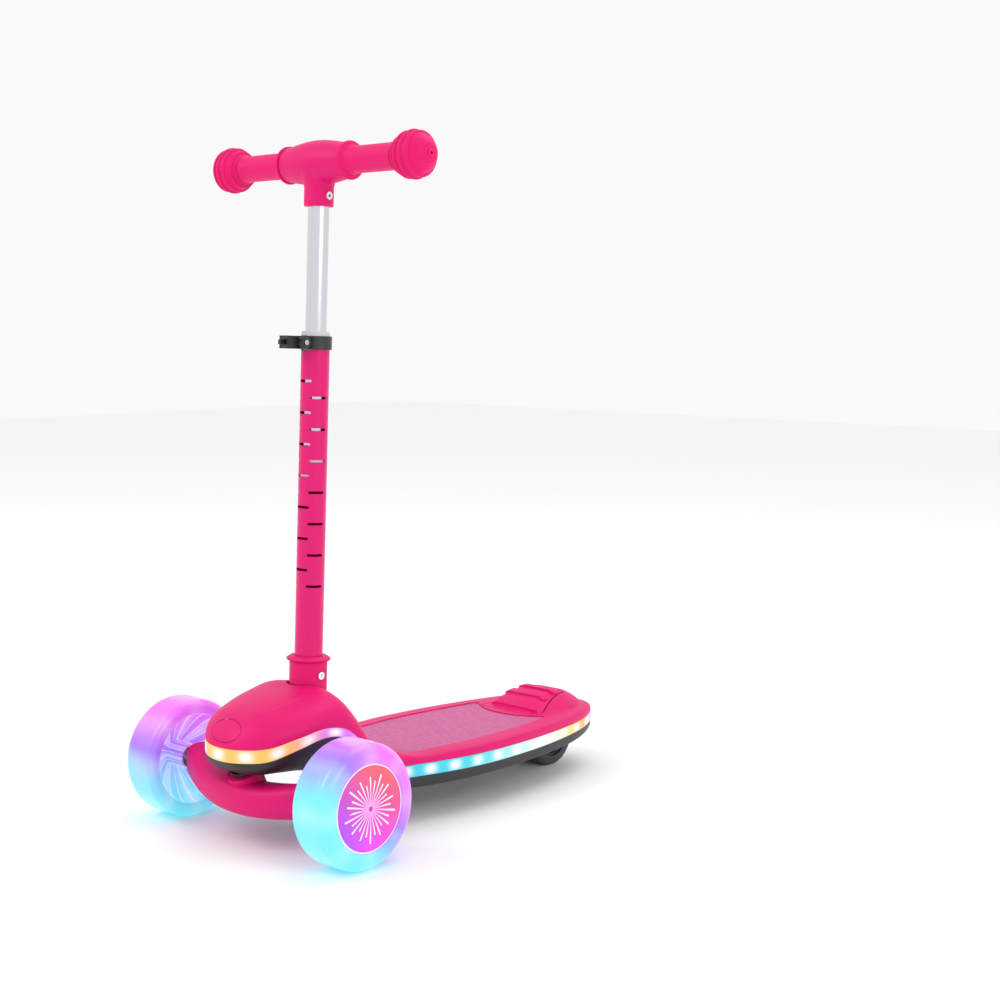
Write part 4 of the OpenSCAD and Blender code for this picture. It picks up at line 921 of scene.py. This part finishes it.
tee = dict(neck=506, axis=548, half=42, barR=17, flare=4.7, tubeBore=10.4, barBore=10.05)
steps = np.linspace(-1, 1, 49)
barrel = [[tee["barR"] + tee["flare"] * max(math.cos(math.pi * s / 2), 0) ** 1.3, tee["half"] * s]
          for s in steps]
teeBody = barTurned("teeBody", [[0, -tee["half"]]] + barrel + [[0, tee["half"]]], tee["axis"], 96, 35, False)
neckProfile = [[0, tee["neck"]], [14.5, tee["neck"]], [14.5, 524], [15.2, 528], [17, 533], [20.4, 538],
               [20.4, 546], [0, 546]]
neck = stemTurned("teeNeck", neckProfile, 96, 35, False)
carve(teeBody, [neck], "UNION")
melt(teeBody, 0.8, 6)
tubeBore = [[0, 500], [tee["tubeBore"], 500], [tee["tubeBore"], upper["high"]], [0, upper["high"]]]
barBore = [[0, -50], [tee["barBore"], -50], [tee["barBore"], 50], [0, 50]]
carve(teeBody, [stemTurned("tubeBore", tubeBore, 96, 35, False),
                barTurned("barBore", barBore, tee["axis"], 96, 35, False)], crease=40)
dress(teeBody, "handlebar", "shell", None, ["tee_piece"])
print("tee done")

grip = dict(ballX=127.5, ballR=21.8, ribs=4, ribR=1.7, pitch=7, firstRib=13, start=42, end=147.5, bore=10.05)


def gripProfile():
    # sleeve with a flange and a ball that carries raised rings
    a = np.linspace(0, np.pi, 220)
    ballX = grip["ballX"] - grip["ballR"] * np.cos(a)
    ballR = (grip["ballR"] - 0.7) * np.sin(a)
    for k in range(grip["ribs"]):
        at = grip["ballX"] - grip["firstRib"] + grip["pitch"] * k
        ringR = np.sqrt(grip["ballR"] ** 2 - (at - grip["ballX"]) ** 2) - 0.5
        raised = ringR + np.sqrt(np.clip(grip["ribR"] ** 2 - (ballX - at) ** 2, 0, None))
        ballR = np.maximum(ballR, np.where(np.abs(ballX - at) > grip["ribR"], 0, raised))
    neckX = np.linspace(46.6, 112, 40)
    neckR = 13 + 1.6 * np.exp(-(neckX - 46.4) / 3) + 1.0 * np.clip((neckX - 96) / 12, 0, 1) ** 2
    ball = np.c_[ballR, ballX][(ballX > 109) & (ballX < grip["end"])]
    neck = np.c_[neckR, neckX][neckX < ball[0, 1] - 1.2]
    quarter = np.linspace(0, np.pi / 2, 8)
    tip = np.c_[1.5 + 2.5 * np.cos(quarter), grip["end"] + 0.4 + 1.9 * np.sin(quarter)]
    endR = np.sqrt(grip["ballR"] ** 2 - 20 ** 2)
    inner = [[1.3, 149.6], [1.3, 121.6], [grip["bore"], 121.6], [grip["bore"], grip["start"]]]
    flange = [[17.9, grip["start"]], [18.5, 42.5], [18.5, 43.9], [18, 44.4], [14.9, 45.4]]
    return np.vstack([flange, neck, ball, [[endR, grip["end"] + 0.1]], tip, inner])


for side, name in ((1, "right"), (-1, "left")):
    piece = barTurned("gripSkin" + name.title(), gripProfile(), tee["axis"], 128, 32, True, side)
    dress(piece, "handlebar", "grip_soft", None, ["grip_" + name])
print("grips done")

# floor
floor = buildPiece("floor", [[-6, -6, 0], [6, -6, 0], [6, 6, 0], [-6, 6, 0]], [[0, 1, 2, 3]])
floorPaint, tree, shader = startMaterial("studioFloor", Roughness=0.75)
shader.inputs["Specular IOR Level"].default_value = 0.2
speck = noise(tree, 220.0, 3.0)
link(tree, mix(tree, speck, (0.93, 0.93, 0.935), (0.97, 0.97, 0.972)), shader.inputs["Base Color"])
floor.data.materials.append(floorPaint)
